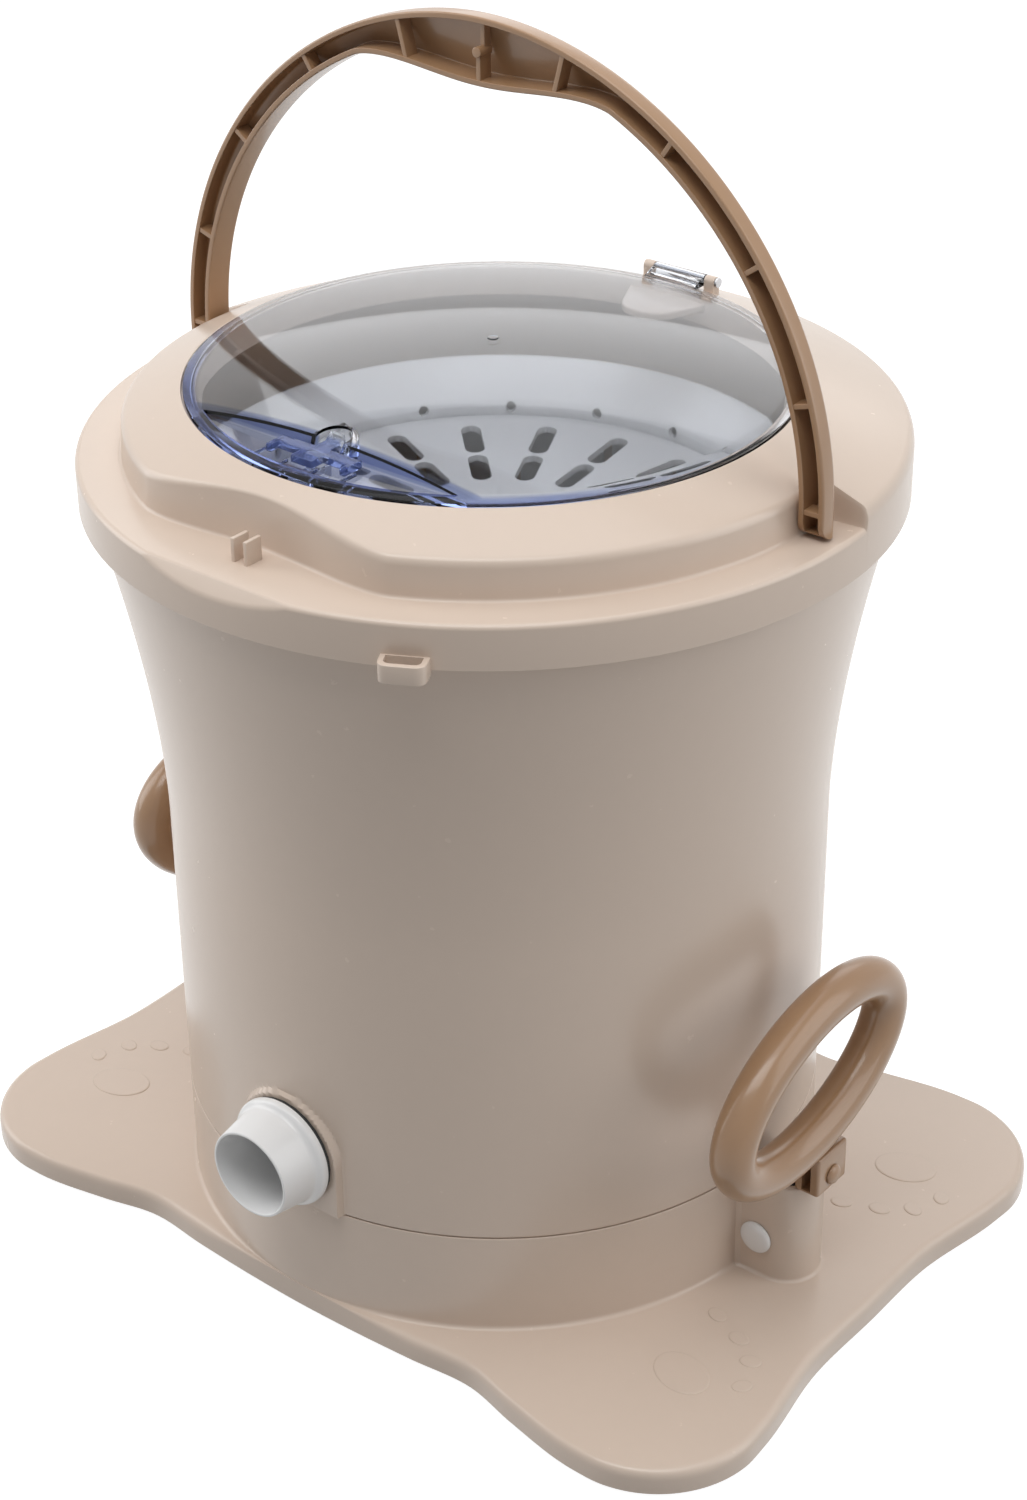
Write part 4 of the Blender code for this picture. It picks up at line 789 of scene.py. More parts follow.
# Drain: a white spigot with a flange and a rounded mouth

drain = {
    "tube": 18.3 * mm,
    "root": 20.6 * mm,
    "bore": 15.5 * mm,
    "mouthBore": 17.2 * mm,
    "mouth": 153.4 * mm,
    "flange": 23 * mm,
    "flangeBack": 133.7 * mm,
    "flangeFront": 136.4 * mm,
    "tail": 119.4 * mm,
}


def makeDrain():
    back, face = drain["flangeBack"], drain["flangeFront"]
    corners = [
        (drain["mouthBore"], drain["mouth"]),
        (drain["tube"], drain["mouth"]),
        (drain["root"], face + 1.6 * mm),
        (drain["flange"], face),
        (drain["flange"], back),
        (drain["tube"], back),
        (drain["tube"], drain["tail"]),
        (drain["bore"], drain["tail"]),
        (drain["bore"], face),
    ]
    reaches = [0.4 * mm, 0.6 * mm, 1.4 * mm, 1.3 * mm, 0.6 * mm, 0, 0.4 * mm, 0.4 * mm, 6 * mm]
    spigot = turnedPiece("spigot", corners, reaches, 128)
    moved(spigot, shift(z=tub["padHeight"]) @ turnAbout("x", 90))
    dress(spigot, white, "machine", ["drain_spigot"])


makeDrain()
print("drain")

# Bail handle: a ribbed channel on a superellipse arch, thicker in a belly at the grip

bail = {
    "halfSpan": 149.7 * mm,
    "rise": 147.1 * mm,
    "centre": 343.5 * mm,
    "power": 1.95,
    "front": 6.4 * mm,
    "outerBack": 0.8 * mm,
    "innerBack": 5.8 * mm,
    "foot": 333.8 * mm,
    "depth": 10.5 * mm,
    "bellyHalf": 61.9 * mm,
    "belly": 14 * mm,
    "web": 1.8 * mm,
    "flange": 2.2 * mm,
    "ribHalf": 0.9 * mm,
    "ribSetBack": 0.4 * mm,
    "ribShares": (-1, -0.959, -0.807, -0.56, -0.25, 0.25, 0.56, 0.807, 0.959, 1),
    "stub": 3.4 * mm,
    "stubEnd": 130.7 * mm,
    "clipPin": 1.9 * mm,
    "clipHeight": 478.2 * mm,
}


# Outer edge of the arch at an angle: x = span cos^(2/p), z = rise sin^(2/p), with its outward normal and depth.
# The depth is even and gains belly (1 - (x/half)^2)^1.5 in the middle.
def bailEdge(turn):
    turn = np.asarray(turn, float)
    power = 2 / bail["power"]
    cosine = np.cos(turn)
    across = bail["halfSpan"] * np.sign(cosine) * np.abs(cosine) ** power
    rise = bail["rise"] * np.clip(np.sin(turn), 0, 1) ** power
    slopeX = np.sign(across) * np.abs(across / bail["halfSpan"]) ** (bail["power"] - 1) / bail["halfSpan"]
    slopeZ = (rise / bail["rise"]) ** (bail["power"] - 1) / bail["rise"]
    length = np.hypot(slopeX, slopeZ)
    normal = np.stack([slopeX / length, slopeZ / length], -1)
    belly = bail["belly"] * np.clip(1 - (across / bail["bellyHalf"]) ** 2, 0, None) ** 1.5
    return np.stack([across, bail["centre"] + rise], -1), normal, bail["depth"] + belly


# The angle along the arch at which it reaches a share of its half span.
def bailTurn(share):
    turn = np.arccos(min(abs(share) ** (bail["power"] / 2), 1))
    return turn if share >= 0 else math.pi - turn


# The back of the section is slanted, so that the folded bail goes on with the lid's slope.
def makeHandle():
    front, web, flange = bail["front"], bail["web"], bail["flange"]
    outerBack, innerBack = bail["outerBack"], bail["innerBack"]
    turns = np.linspace(0, math.pi, 241)
    edge, normal, depth = bailEdge(turns)
    low = bail["foot"]
    # Two short straight stretches carry the arch down to its feet.
    rootHeights = np.array([low, low + 0.35 * mm, low + 3 * mm, low + 6 * mm])
    footRight = np.stack([np.full(4, edge[0, 0]), rootHeights], 1)
    footLeft = footRight[::-1] * (-1, 1)
    edge = np.vstack([footRight, edge, footLeft])
    normal = np.vstack([[[1, 0]] * 4, normal, [[-1, 0]] * 4])
    depth = np.concatenate([np.full(4, depth[0]), depth, np.full(4, depth[-1])])
    one = np.ones(len(depth))
    slope = (innerBack - outerBack) / depth
    corners = np.stack(
        [
            np.stack([0 * one, -front * one], -1),
            np.stack([0 * one, outerBack * one], -1),
            np.stack([depth, innerBack * one], -1),
            np.stack([depth, -front * one], -1),
            np.stack([depth - flange, -front * one], -1),
            np.stack([depth - flange, innerBack - slope * flange - web], -1),
            np.stack([flange * one, outerBack + slope * flange - web], -1),
            np.stack([flange * one, -front * one], -1),
        ],
        1,
    )
    reaches = [0.9 * mm, 1.5 * mm, 1.5 * mm, 0.7 * mm, 0.3 * mm, 0.8 * mm, 0.8 * mm, 0.3 * mm]
    section = roundedLoop(corners, reaches, 6)
    inward, side = section[..., 0], section[..., 1]
    x = edge[:, None, 0] - normal[:, None, 0] * inward
    z = edge[:, None, 1] - normal[:, None, 1] * inward
    arch = gridPiece("bail", np.stack([x, side, z], -1))
    additions = []
    for i, share in enumerate(bail["ribShares"]):
        point, out, thick = bailEdge(bailTurn(share))
        along = np.array([-out[1], out[0]]) * bail["ribHalf"]
        outerPoint, innerPoint = point - out * flange * 0.4, point - out * (thick - flange * 0.4)
        outline = np.array([outerPoint - along, outerPoint + along, innerPoint + along, innerPoint - along])
        if np.cross(outline[1] - outline[0], outline[2] - outline[1]) < 0:
            outline = outline[::-1]
        start = -front + bail["ribSetBack"]
        outline = roundedLoop(outline, [0.15 * mm] * 4, 3)
        additions.append(slabPiece(f"rib_{i}", outline, start, outerBack - web * 0.4, 0.15 * mm, "y"))
    # The middle rib is full below its clip pin and set back above it.
    top, _, thick = bailEdge(math.pi / 2)
    pinHeight, half = bail["clipHeight"], bail["ribHalf"]
    spans = [
        (top[1] - thick + flange * 0.4, pinHeight, -front + bail["ribSetBack"]),
        (pinHeight - half, top[1] - flange * 0.4, -front + 3 * mm),
    ]
    for i, (bottom, high, start) in enumerate(spans):
        outline = np.array([(-half, bottom), (half, bottom), (half, high), (-half, high)])
        additions.append(slabPiece(f"middle_{i}", outline, start, outerBack - web * 0.4, 0.15 * mm, "y"))
    pinFront = -front - 0.6 * mm
    additions.append(slabPiece("clip_pin", circle((0, pinHeight), bail["clipPin"], 40), pinFront, 0, 0.3 * mm, "y"))
    for side in (-1, 1):
        inner, outer = bail["halfSpan"] - bail["depth"], bail["halfSpan"]
        ends = sorted((side * (inner + 1 * mm), side * bail["stubEnd"]))
        stub = circle((0, common["pivot"]), bail["stub"], 40)
        additions.append(slabPiece(f"stub_{side}", stub, *ends, 0.5 * mm, "x"))
        sides = sorted((side * (inner + 0.6 * mm), side * (outer - 0.6 * mm)))
        foot = ((sides[0], -front + 0.5 * mm, low + 0.2 * mm), (sides[1], outerBack - 0.4 * mm, low + 2.2 * mm))
        additions.append(roundedBlock(f"foot_{side}", *foot, 0.4 * mm))
    combined(arch, additions)
    # The front lower edge of each foot is round about the pivot, so that it can swing down.
    profile = [(-front - 3 * mm, common["pivot"])]
    profile += [
        (-front * math.cos(a), common["pivot"] - (common["pivot"] - low) * math.sin(a))
        for a in np.linspace(0, math.pi / 2, 10)
    ]
    profile += [(0, low - 3 * mm), (-front - 3 * mm, low - 3 * mm)]
    cutBy(arch, [slabPiece("foot_round", profile, -170 * mm, 170 * mm, axis="x")])
    dress(arch, brown, "handle", ["bail_handle"])


makeHandle()
print("bail handle")

# Lid: a ring with a sloping top, whose front half is a ledge that the folded bail lies on

lid = {
    "clearance": 0.8 * mm,
    "draft": 0.7 * mm,
    "facetY": 150.4 * mm,
    "facetDrop": 5.4 * mm,
    "notch": 95.6,
    "notchBand": 0.35,
    "wall": 2.5 * mm,
    "seatRadius": 114.6 * mm,
    "seatLevel": 354.9 * mm,
    "opening": 109.6 * mm,
    "wallLow": 344 * mm,
    "catchHalf": 8 * mm,
    "padHalf": 19 * mm,
    "padTip": 9 * mm,
    "padReach": 88 * mm,
    "topRound": 2.8 * mm,
    "footRound": 1.6 * mm,
    "tabGap": 2.1 * mm,
    "tabWall": 1.6 * mm,
    "tabReach": 134.1 * mm,
    "tabLength": 7.7 * mm,
    "tabTop": 341.9 * mm,
}


# The folded bail's inner edge as radius against angle from -Y, less a clearance.
def nestRadius(angles):
    turns = np.linspace(math.pi / 2, 0, 400)
    edge, normal, depth = bailEdge(turns)
    inner = edge - normal * depth[:, None]
    x, y = inner[:, 0], common["pivot"] - inner[:, 1]
    around, radius = np.arctan2(x, -y), np.hypot(x, y)
    order = np.argsort(around)
    nest = np.interp(np.abs(angles), around[order], radius[order])
    return nest - lid["clearance"], radius.max() - lid["clearance"]


def coneHeight(radius):
    return common["windowEdge"] - 0.3 * mm - (radius - common["window"]) * common["coneSlope"]


def makeLid():
    near = np.arange(-20, 20, 0.4)
    side = np.concatenate([np.arange(20, 94.6, 0.6), np.arange(94.6, 96.8, 0.08), np.arange(96.8, 180, 0.9)])
    angles = np.radians(np.concatenate([near, side, 360 - side[::-1]]))
    angles = np.unique(np.round(np.mod(angles + math.pi, 2 * math.pi) - math.pi, 7))
    wall, plain = nestRadius(angles)
    rim, ledge = common["rim"], common["ledge"]
    slant = lid["draft"]
    one = np.ones(len(angles))
    # The flat cut on the rim under the latch, between a chord and the skirt.
    faces = (np.cos(angles) * rim > lid["facetY"]) & (np.abs(angles) < 1)
    edgeRadius = np.where(faces, np.minimum(rim - 1.2 * mm, lid["facetY"] / np.cos(angles)), rim - 1.2 * mm)
    facetLow = ledge - lid["facetDrop"] * (rim * np.cos(angles) - lid["facetY"]) / (rim - lid["facetY"])
    edgeLow = np.where(faces, np.minimum(facetLow, ledge - 1.2 * mm), ledge - 1.2 * mm)

    def at(radius, height):
        return np.stack([radius * one, height * one], -1)

    seat, level, thick = lid["seatRadius"], lid["seatLevel"], lid["wall"]
    # The opening is wide, with a wall under its edge, but in front a catch stands in for the latch's tongue.
    offMiddle = np.abs(np.sin(angles)) * common["openingRadius"]
    beside = smoothStep(offMiddle, lid["catchHalf"], lid["catchHalf"] + 1.5 * mm)
    beside = np.where(np.abs(angles) < 1, beside, 1)
    opening = common["openingRadius"] + (lid["opening"] - common["openingRadius"]) * beside
    wallLow = level - thick - (level - thick - lid["wallLow"]) * beside
    innerRim = rim - thick
    topEdge = wall - slant
    spans = [seat + (topEdge - seat) * share for share in (0.25, 0.5, 0.75)]
    front = [at(opening, wallLow), at(opening, level), at(seat, level), at(seat, coneHeight(seat))]
    front += [at(r, coneHeight(r)) for r in spans]
    front += [at(topEdge, coneHeight(topEdge)), at(wall, ledge), at(edgeRadius, ledge), at(rim, edgeLow)]
    front += [at(rim, common["skirt"]), at(innerRim, common["skirt"]), at(innerRim, ledge - thick)]
    front += [at(wall - thick, ledge - thick), at(topEdge - thick, coneHeight(topEdge) - thick * 1.2)]
    front += [at(seat + thick, level - thick), at(opening + thick * 0.7, wallLow - 0.1 * mm * (1 - beside))]
    backEdge = rim - 1.5 * mm
    back = front[:7] + [at(topEdge, coneHeight(topEdge)), at(wall + 1 * mm, coneHeight(wall + 1 * mm))]
    back += [at(backEdge, coneHeight(backEdge)), at(rim, coneHeight(backEdge) - 3.6 * mm)]
    back += [at(rim, common["skirt"]), at(innerRim, common["skirt"])]
    back += [at(innerRim, coneHeight(innerRim) - thick * 1.6)]
    back += [at(edge - thick, coneHeight(edge - thick) - thick * 1.2) for edge in (wall, topEdge)]
    back += front[-2:]
    small = 0.4 * mm
    edgeReach = np.where(faces, 0.9 * mm, 1.4 * mm)
    reachesFront = [small, small, small, 0.8 * mm, 0, 0, 0, lid["topRound"], lid["footRound"], edgeReach]
    reachesFront += [1.4 * mm, small, small, small, small, small, small, small]
    reachesBack = [small, small, small, 0.8 * mm, 0, 0, 0, small, small, 2.6 * mm]
    reachesBack += [2.6 * mm, small, small, small, small, small, small, small]
    frontRows = roundedLoop(np.stack(front, 1), reachesFront, 8)
    backRows = roundedLoop(np.stack(back, 1), reachesBack, 8)
    notch = math.radians(lid["notch"])
    band = math.radians(lid["notchBand"])
    share = smoothStep(np.abs(angles), notch - band / 2, notch + band)[:, None, None]
    rows = frontRows * (1 - share) + backRows * share
    radius, height = rows[..., 0], rows[..., 1]
    grid = np.stack([radius * np.sin(angles)[:, None], -radius * np.cos(angles)[:, None], height], -1)
    shell = gridPiece("lid_moulding", grid.transpose(1, 0, 2), ringRows=True)
    additions = []
    for side in (-1, 1):
        ends = sorted((side * lid["tabGap"], side * (lid["tabGap"] + lid["tabWall"])))
        low = (ends[0], -lid["tabReach"] - lid["tabLength"] / 2, ledge - 1.2 * mm)
        high = (ends[1], low[1] + lid["tabLength"], lid["tabTop"])
        additions.append(roundedBlock(f"tab_{side}", low, high, 0.35 * mm))
    # A rounded pad under the dome's back edge carries the hinge.
    padHalf, padTip, padRoot = lid["padHalf"], lid["padTip"], lid["opening"] + 1 * mm
    pad = [(-padHalf, padRoot), (-padTip, lid["padReach"]), (padTip, lid["padReach"]), (padHalf, padRoot)]
    padOutline = roundedLoop(pad, [0, 8 * mm, 8 * mm, 0], 10)
    additions.append(slabPiece("hinge_pad", padOutline, level - 5.5 * mm, level - 2.5 * mm, 0.8 * mm))
    hingeY, hingeZ, knuckle = common["hingeY"], common["hingeZ"], common["hingeKnuckle"]
    ear = [(hingeY + knuckle * math.cos(a), hingeZ + knuckle * math.sin(a)) for a in np.linspace(0, math.pi, 24)]
    ear += [(hingeY - knuckle, coneHeight(hingeY) - 1.2 * mm), (hingeY + knuckle, coneHeight(hingeY) - 1.2 * mm)]
    for side in (-1, 1):
        ends = sorted((side * 12.3 * mm, side * 17 * mm))
        additions.append(slabPiece(f"ear_{side}", ear, *ends, 0.3 * mm, "x"))
    additions.append(hoseLoop())
    combined(shell, additions)
    cuts = [slabPiece("pin_hole", circle((hingeY, hingeZ), common["hingeBore"], 24), -20 * mm, 20 * mm, axis="x")]
    for side in (-1, 1):
        ends = sorted((side * (plain - 6 * mm), side * 141 * mm))
        cuts.append(slabPiece(f"pivot_hole_{side}", circle((0, common["pivot"]), 3.7 * mm, 40), *ends, axis="x"))
    cutBy(shell, cuts)
    dress(shell, beige, "lid", ["lid"])


hose = {
    "half": 8.5 * mm,
    "reach": 8 * mm,
    "wall": 2 * mm,
    "height": 7 * mm,
    "turn": -62,
}


# The open loop at the skirt's lower edge that holds the drain hose: a band bent in a U, seen from above.
def hoseLoop():
    half, reach, wall, height = (hose[value] for value in ("half", "reach", "wall", "height"))
    rim, low = common["rim"], common["skirt"] - hose["wall"]

    def bent(halfWidth, out, root):
        corners = [(root, -halfWidth), (rim + out, -halfWidth), (rim + out, halfWidth), (root, halfWidth)]
        return roundedLoop(corners, [0, min(halfWidth, out) * 0.62, min(halfWidth, out) * 0.62, 0], 8)

    outside = bent(half, reach, rim - 1.2 * mm)
    loop = slabPiece("hose_loop", outside, low, low + height, 0.35 * mm)
    inside = bent(half - wall, reach - wall, rim + 0.5 * mm)
    hole = slabPiece("hose_gap", inside, low - 2 * mm, common["skirt"] + height)
    cutBy(loop, [hole])
    return moved(loop, turnAbout("z", hose["turn"]))


makeLid()
print("lid")

# Window: a thin clear dome with a sunk pocket for its latch

window = {
    "chord": 90 * mm,
    "wallFoot": 92.4 * mm,
    "lip": 109.3 * mm,
    "hollow": 110.8 * mm,
    "knuckleHalf": 12 * mm,
    "gate": 2.1 * mm,
    "recessY": 88 * mm,
    "recess": 6.8 * mm,
    "guideHalf": 19.3 * mm,
    "guide": 0.9 * mm,
    "slotHalf": 5.6 * mm,
    "slotFront": 102 * mm,
    "slotBack": 93.6 * mm,
}


# Height of the dome's outer face: edge + rise (1 - (r/R)^2).
def domeHeight(radius):
    return common["windowEdge"] + common["domeRise"] * (1 - (radius / common["window"]) ** 2)


# Everything in front of a slanted plane through the chord, as a slab along X.
def aheadOf(name, topY, footY, low, high):
    beyond = common["window"] + 6 * mm
    level = common["windowEdge"]
    slope = (footY - topY) / (domeHeight(window["chord"]) - level)
    outline = [(-beyond, low), (-footY + slope * (low - level), low)]
    outline += [(-footY + slope * (high - level), high), (-beyond, high)]
    return slabPiece(name, outline, -beyond, beyond, axis="x")


def makeWindow():
    radius, wall = common["window"], common["windowWall"]
    edge, floor = common["windowEdge"], common["windowEdge"] - wall
    rings = np.linspace(0, radius - 0.6 * mm, 36)
    top = np.stack([rings, domeHeight(rings)], 1)
    rim = [(radius - 0.1 * mm, domeHeight(radius) - 0.1 * mm), (radius, domeHeight(radius) - 0.5 * mm)]
    rim += [(radius, floor + 0.4 * mm), (radius - 0.4 * mm, floor), (0, floor)]
    shell = gridPiece("dome", turnedGrid(np.vstack([top, rim]), fullTurn(192)), caps=False)
    hollowEdge = window["hollow"]
    rings = np.linspace(0, hollowEdge - 1.2 * mm, 32)
    under = np.stack([rings, domeHeight(rings) - wall], 1)
    under = np.vstack([under, [(hollowEdge, floor), (hollowEdge, floor - 2 * mm), (0, floor - 2 * mm)]])
    hollow = gridPiece("hollow", turnedGrid(under, fullTurn(192)), caps=False)
    back, foot = window["chord"], window["wallFoot"]
    recess = (0, -window["recessY"])
    kept = aheadOf("kept", back - wall, foot - wall, floor - 9 * mm, 400 * mm)
    keptRound = slabPiece("kept_round", circle(recess, window["recess"] + wall, 64), floor - 9 * mm, 400 * mm)
    cutBy(hollow, [kept, keptRound])
    # The pocket keeps the rim as a low lip, and its wall has a round recess for a finger.
    pocket = aheadOf("pocket", back, foot, edge - 0.2 * mm, 372 * mm)
    within = slabPiece("within", circle((0, 0), window["lip"], 192), edge - 4 * mm, 380 * mm)
    combined(pocket, [within], "INTERSECT")
    finger = slabPiece("finger", circle(recess, window["recess"], 64), edge - 0.2 * mm, 374 * mm, 0.5 * mm)
    cutBy(shell, [hollow, pocket, finger])
    knuckleY, knuckleZ, size = common["hingeY"], common["hingeZ"], common["hingeKnuckle"]
    turns = np.linspace(math.radians(-90), math.radians(120), 22)
    barrel = [(knuckleY + size * math.cos(a), knuckleZ + size * math.sin(a)) for a in turns]
    barrel += [(109.5 * mm, domeHeight(109.5 * mm) + 0.6 * mm), (109.5 * mm, domeHeight(109.5 * mm) - 1 * mm)]
    parts = [slabPiece("barrel", barrel, -window["knuckleHalf"], window["knuckleHalf"], 0.3 * mm, "x")]
    crown = domeHeight(0)
    parts.append(slabPiece("gate", circle((0, 0), window["gate"], 40), crown - 1 * mm, crown + 0.35 * mm, 0.3 * mm))
    # Low guides beside the latch and beside its stem.
    near, thick = window["guideHalf"], window["guide"]
    for side in (-1, 1):
        for start, reach, y in ((near, 99 * mm, 107 * mm), (6.4 * mm, 104.5 * mm, 108.6 * mm)):
            ends = sorted((side * start, side * (start + thick)))
            far = (ends[1], -reach, edge + 0.9 * mm)
            parts.append(roundedBlock(f"guide_{side}", (ends[0], -y, edge - 0.6 * mm), far, 0.25 * mm))
    combined(shell, parts)
    slotHalf, slotFront, slotBack = window["slotHalf"], window["slotFront"], window["slotBack"]
    slotEnd = (slotHalf, -slotBack, floor + wall * 1.5)
    slot = roundedBlock("latch_slot", (-slotHalf, -slotFront, floor - 2 * mm), slotEnd)
    pin = slabPiece("pin_bore", circle((knuckleY, knuckleZ), common["hingeBore"], 24), -30 * mm, 30 * mm, axis="x")
    cutBy(shell, [slot, pin])
    dress(shell, clear, "window", ["window"])


# Latch: a flat T whose bar has ends bent forward, with a finger tab in the recess and a hook through the slot.
latch = {
    "barHalf": 18.2 * mm,
    "barBack": 93.8 * mm,
    "barFront": 99.3 * mm,
    "wingReach": 103.2 * mm,
    "wing": 2.4 * mm,
    "tabHalf": 3.4 * mm,
    "tabBack": 84.6 * mm,
    "stemHalf": 5 * mm,
    "stemFront": 105 * mm,
    "low": 357.7 * mm,
    "high": 360.6 * mm,
    "tongueLow": 349.8 * mm,
    "tongueFront": 103.4 * mm,
    "tongueBack": 95 * mm,
    "tongueThick": 2.2 * mm,
    "legFront": 98.2 * mm,
    "legBack": 94.6 * mm,
    "gripTop": 363.4 * mm,
}


def makeLatch():
    half, back, front = latch["barHalf"], latch["barBack"], latch["barFront"]
    tab, tabBack = latch["tabHalf"], latch["tabBack"]
    wing, reach = latch["wing"], latch["wingReach"]
    stem, stemFront = latch["stemHalf"], latch["stemFront"]
    low, high, edge = latch["low"], latch["high"], 0.5 * mm
    body = roundedBlock("latch", (-half, -front, low), (half, -back, high), edge)
    tongueTab = [(tab, -back - 1 * mm), (tab, -tabBack), (-tab, -tabBack), (-tab, -back - 1 * mm)]
    parts = [slabPiece("tab", roundedLoop(tongueTab, [0, 2.4 * mm, 2.4 * mm, 0], 8), low, high, edge)]
    parts.append(roundedBlock("stem", (-stem, -stemFront, low), (stem, -front + 1 * mm, high), edge))
    for side in (-1, 1):
        ends = sorted((side * (half - wing), side * half))
        far = (ends[1], -front + 1 * mm, high)
        parts.append(roundedBlock(f"wing_{side}", (ends[0], -reach, low), far, edge))
    slim, foot, joined = stem - 0.4 * mm, latch["tongueLow"], high - 1 * mm
    leg = roundedBlock("leg", (-slim, -latch["legFront"], foot), (slim, -latch["legBack"], low + 1 * mm))
    tongueEnd = (slim, -latch["tongueBack"], foot + latch["tongueThick"])
    tongue = roundedBlock("tongue", (-slim, -latch["tongueFront"], foot), tongueEnd)
    fin = [(-tabBack - 0.4 * mm, joined), (-tabBack - 0.4 * mm, latch["gripTop"])]
    fin += [(-tabBack - 2 * mm, latch["gripTop"]), (-tabBack - 5.6 * mm, joined)]
    finOutline = roundedLoop(fin, [0, 0.7 * mm, 0.7 * mm, 0], 5)
    grip = slabPiece("grip", finOutline, -tab + 0.4 * mm, tab - 0.4 * mm, 0.4 * mm, "x")
    combined(body, parts + [leg, tongue, grip])
    dress(body, clearLatch, "latch", ["window_latch"])


makeWindow()
makeLatch()
print("window")

# Pull rings: an oval tube with a lug, leaning in the fork of its plug

pull = {
    "halfWidth": 51.6 * mm,
    "halfHeight": 28.5 * mm,
    "tube": 8.7 * mm,
    "lean": 11.6,
    "stem": 50.6 * mm,
    "plugHalf": 10 * mm,
    "plugDepth": 11.1 * mm,
    "plugRise": 17.8 * mm,
    "plugLow": 58.8 * mm,
    "lugHalf": 1.7 * mm,
    "lugRadius": 4.5 * mm,
    "lugReach": 17 * mm,
    "pin": 2 * mm,
    "pinHead": 4.2 * mm,
    "pinRise": 2.2 * mm,
    "ropeX": 146.3 * mm,
    "ropeEye": 3.6 * mm,
    "pathSteps": 160,
    "tubeSteps": 40,
}


def makeRing(side, turn):
    # The tube's middle runs on an ellipse, and its section is a circle that is square to the path.
    path, around = fullTurn(pull["pathSteps"]), fullTurn(pull["tubeSteps"])
    y, z = pull["halfWidth"] * np.cos(path), pull["stem"] + pull["halfHeight"] * np.sin(path)
    slopeY, slopeZ = -pull["halfWidth"] * np.sin(path), pull["halfHeight"] * np.cos(path)
    length = np.hypot(slopeY, slopeZ)
    outY, outZ = slopeZ / length, -slopeY / length
    reach, rise = pull["tube"] * np.cos(around), pull["tube"] * np.sin(around)
    grid = np.stack(
        [
            np.broadcast_to(rise, (pull["pathSteps"], pull["tubeSteps"])),
            y[:, None] + outY[:, None] * reach,
            z[:, None] + outZ[:, None] * reach,
        ],
        -1,
    )
    ring = gridPiece(f"oval_ring_{side}", grid, ringRows=True)
    turns = np.linspace(-math.pi, 0, 24)
    lug = [(pull["lugRadius"] * math.cos(a), pull["lugRadius"] * math.sin(a)) for a in turns]
    lug += [(pull["lugRadius"], pull["lugReach"]), (-pull["lugRadius"], pull["lugReach"])]
    tongue = slabPiece("tongue", lug, -pull["lugHalf"], pull["lugHalf"], 0.4 * mm, "x")
    combined(ring, [tongue])
    cutBy(ring, [slabPiece("lug_hole", circle((0, 0), pull["pin"] + 0.3 * mm, 24), -5 * mm, 5 * mm, axis="x")])
    place = turnAbout("z", turn) @ shift(common["plugX"], 0, common["pinHeight"]) @ turnAbout("x", pull["lean"])
    moved(ring, place)
    dress(ring, brown, f"ring_{side}", [f"pull_ring_{side}"])


def makePlug(side, turn):
    half, depth = pull["plugHalf"], pull["plugDepth"]
    x, low = common["plugX"], pull["plugLow"]
    corners = [(x - depth / 2, -half), (x + depth / 2, -half), (x + depth / 2, half), (x - depth / 2, half)]
    plug = slabPiece(f"plug_{side}", roundedLoop(corners, [1.6 * mm] * 4, 8), low, low + pull["plugRise"], 1.1 * mm)
    ropeX, eye = pull["ropeX"], pull["ropeEye"]
    lug = roundedBlock("rope_lug", (ropeX - eye, -eye, low), (x - depth / 2 + eye, eye, low + 2 * eye), 0.8 * mm)
    combined(plug, [lug])
    fork = pull["lugHalf"] + 0.3 * mm
    forkLow = common["pinHeight"] - pull["lugRadius"] - 0.3 * mm
    forkEnd = (x + fork, half + 3 * mm, low + pull["plugRise"] + 3 * mm)
    cut = roundedBlock("fork", (x - fork, -half - 3 * mm, forkLow), forkEnd)
    bore = slabPiece(
        "plug_bore",
        circle((0, common["pinHeight"]), pull["pin"] + 0.3 * mm, 24),
        x - depth / 2 + 2 * mm,
        x + depth / 2 + 2 * mm,
        axis="x",
    )
    cutBy(plug, [cut, bore])
    moved(plug, turnAbout("z", turn))
    dress(plug, brown, f"pull_{side}", [f"pull_plug_{side}"])
    # The pin's head is a low oval dome on the plug's outer face.
    face = x + depth / 2 + 0.3 * mm
    stem = [(0, x - depth / 2 + 2.3 * mm), (pull["pin"], x - depth / 2 + 2.3 * mm), (pull["pin"], face)]
    arc = np.linspace(0, math.pi / 2, 10)
    head = [(pull["pinHead"] * math.cos(a), face + pull["pinRise"] * math.sin(a)) for a in arc]
    pin = gridPiece(f"pin_{side}", turnedGrid(stem + head, fullTurn(40)), caps=False)
    moved(pin, turnAbout("z", turn) @ shift(z=common["pinHeight"]) @ turnAbout("y", 90))
    dress(pin, brown, f"pull_{side}", [f"ring_pin_{side}"])


rollerPin = {
    "face": 14.3 * mm,
    "rise": 2.4 * mm,
    "radius": 7 * mm,
    "stem": 2.4 * mm,
    "stemEnd": -12.2 * mm,
}


# The cap is a low dome: radius cos^0.7 against rise sin.
def makeRollerPin(side, turn):
    face, rise, radius = rollerPin["face"], rollerPin["rise"], rollerPin["radius"]
    arc = np.linspace(0, math.pi / 2, 14)
    head = [(radius * math.cos(a) ** 0.7, face + 0.3 * mm + (rise - 0.3 * mm) * math.sin(a)) for a in arc]
    end, thin = rollerPin["stemEnd"], rollerPin["stem"]
    stem = [(0, end), (thin, end), (thin, face), (radius, face)]
    pin = gridPiece(f"roller_cap_{side}", turnedGrid(stem + head, fullTurn(64)), caps=False)
    moved(pin, turnAbout("z", turn) @ shift(base["rollerX"], 0, base["rollerHeight"]) @ turnAbout("x", 90))
    dress(pin, white, "machine", [f"roller_pin_{side}"])


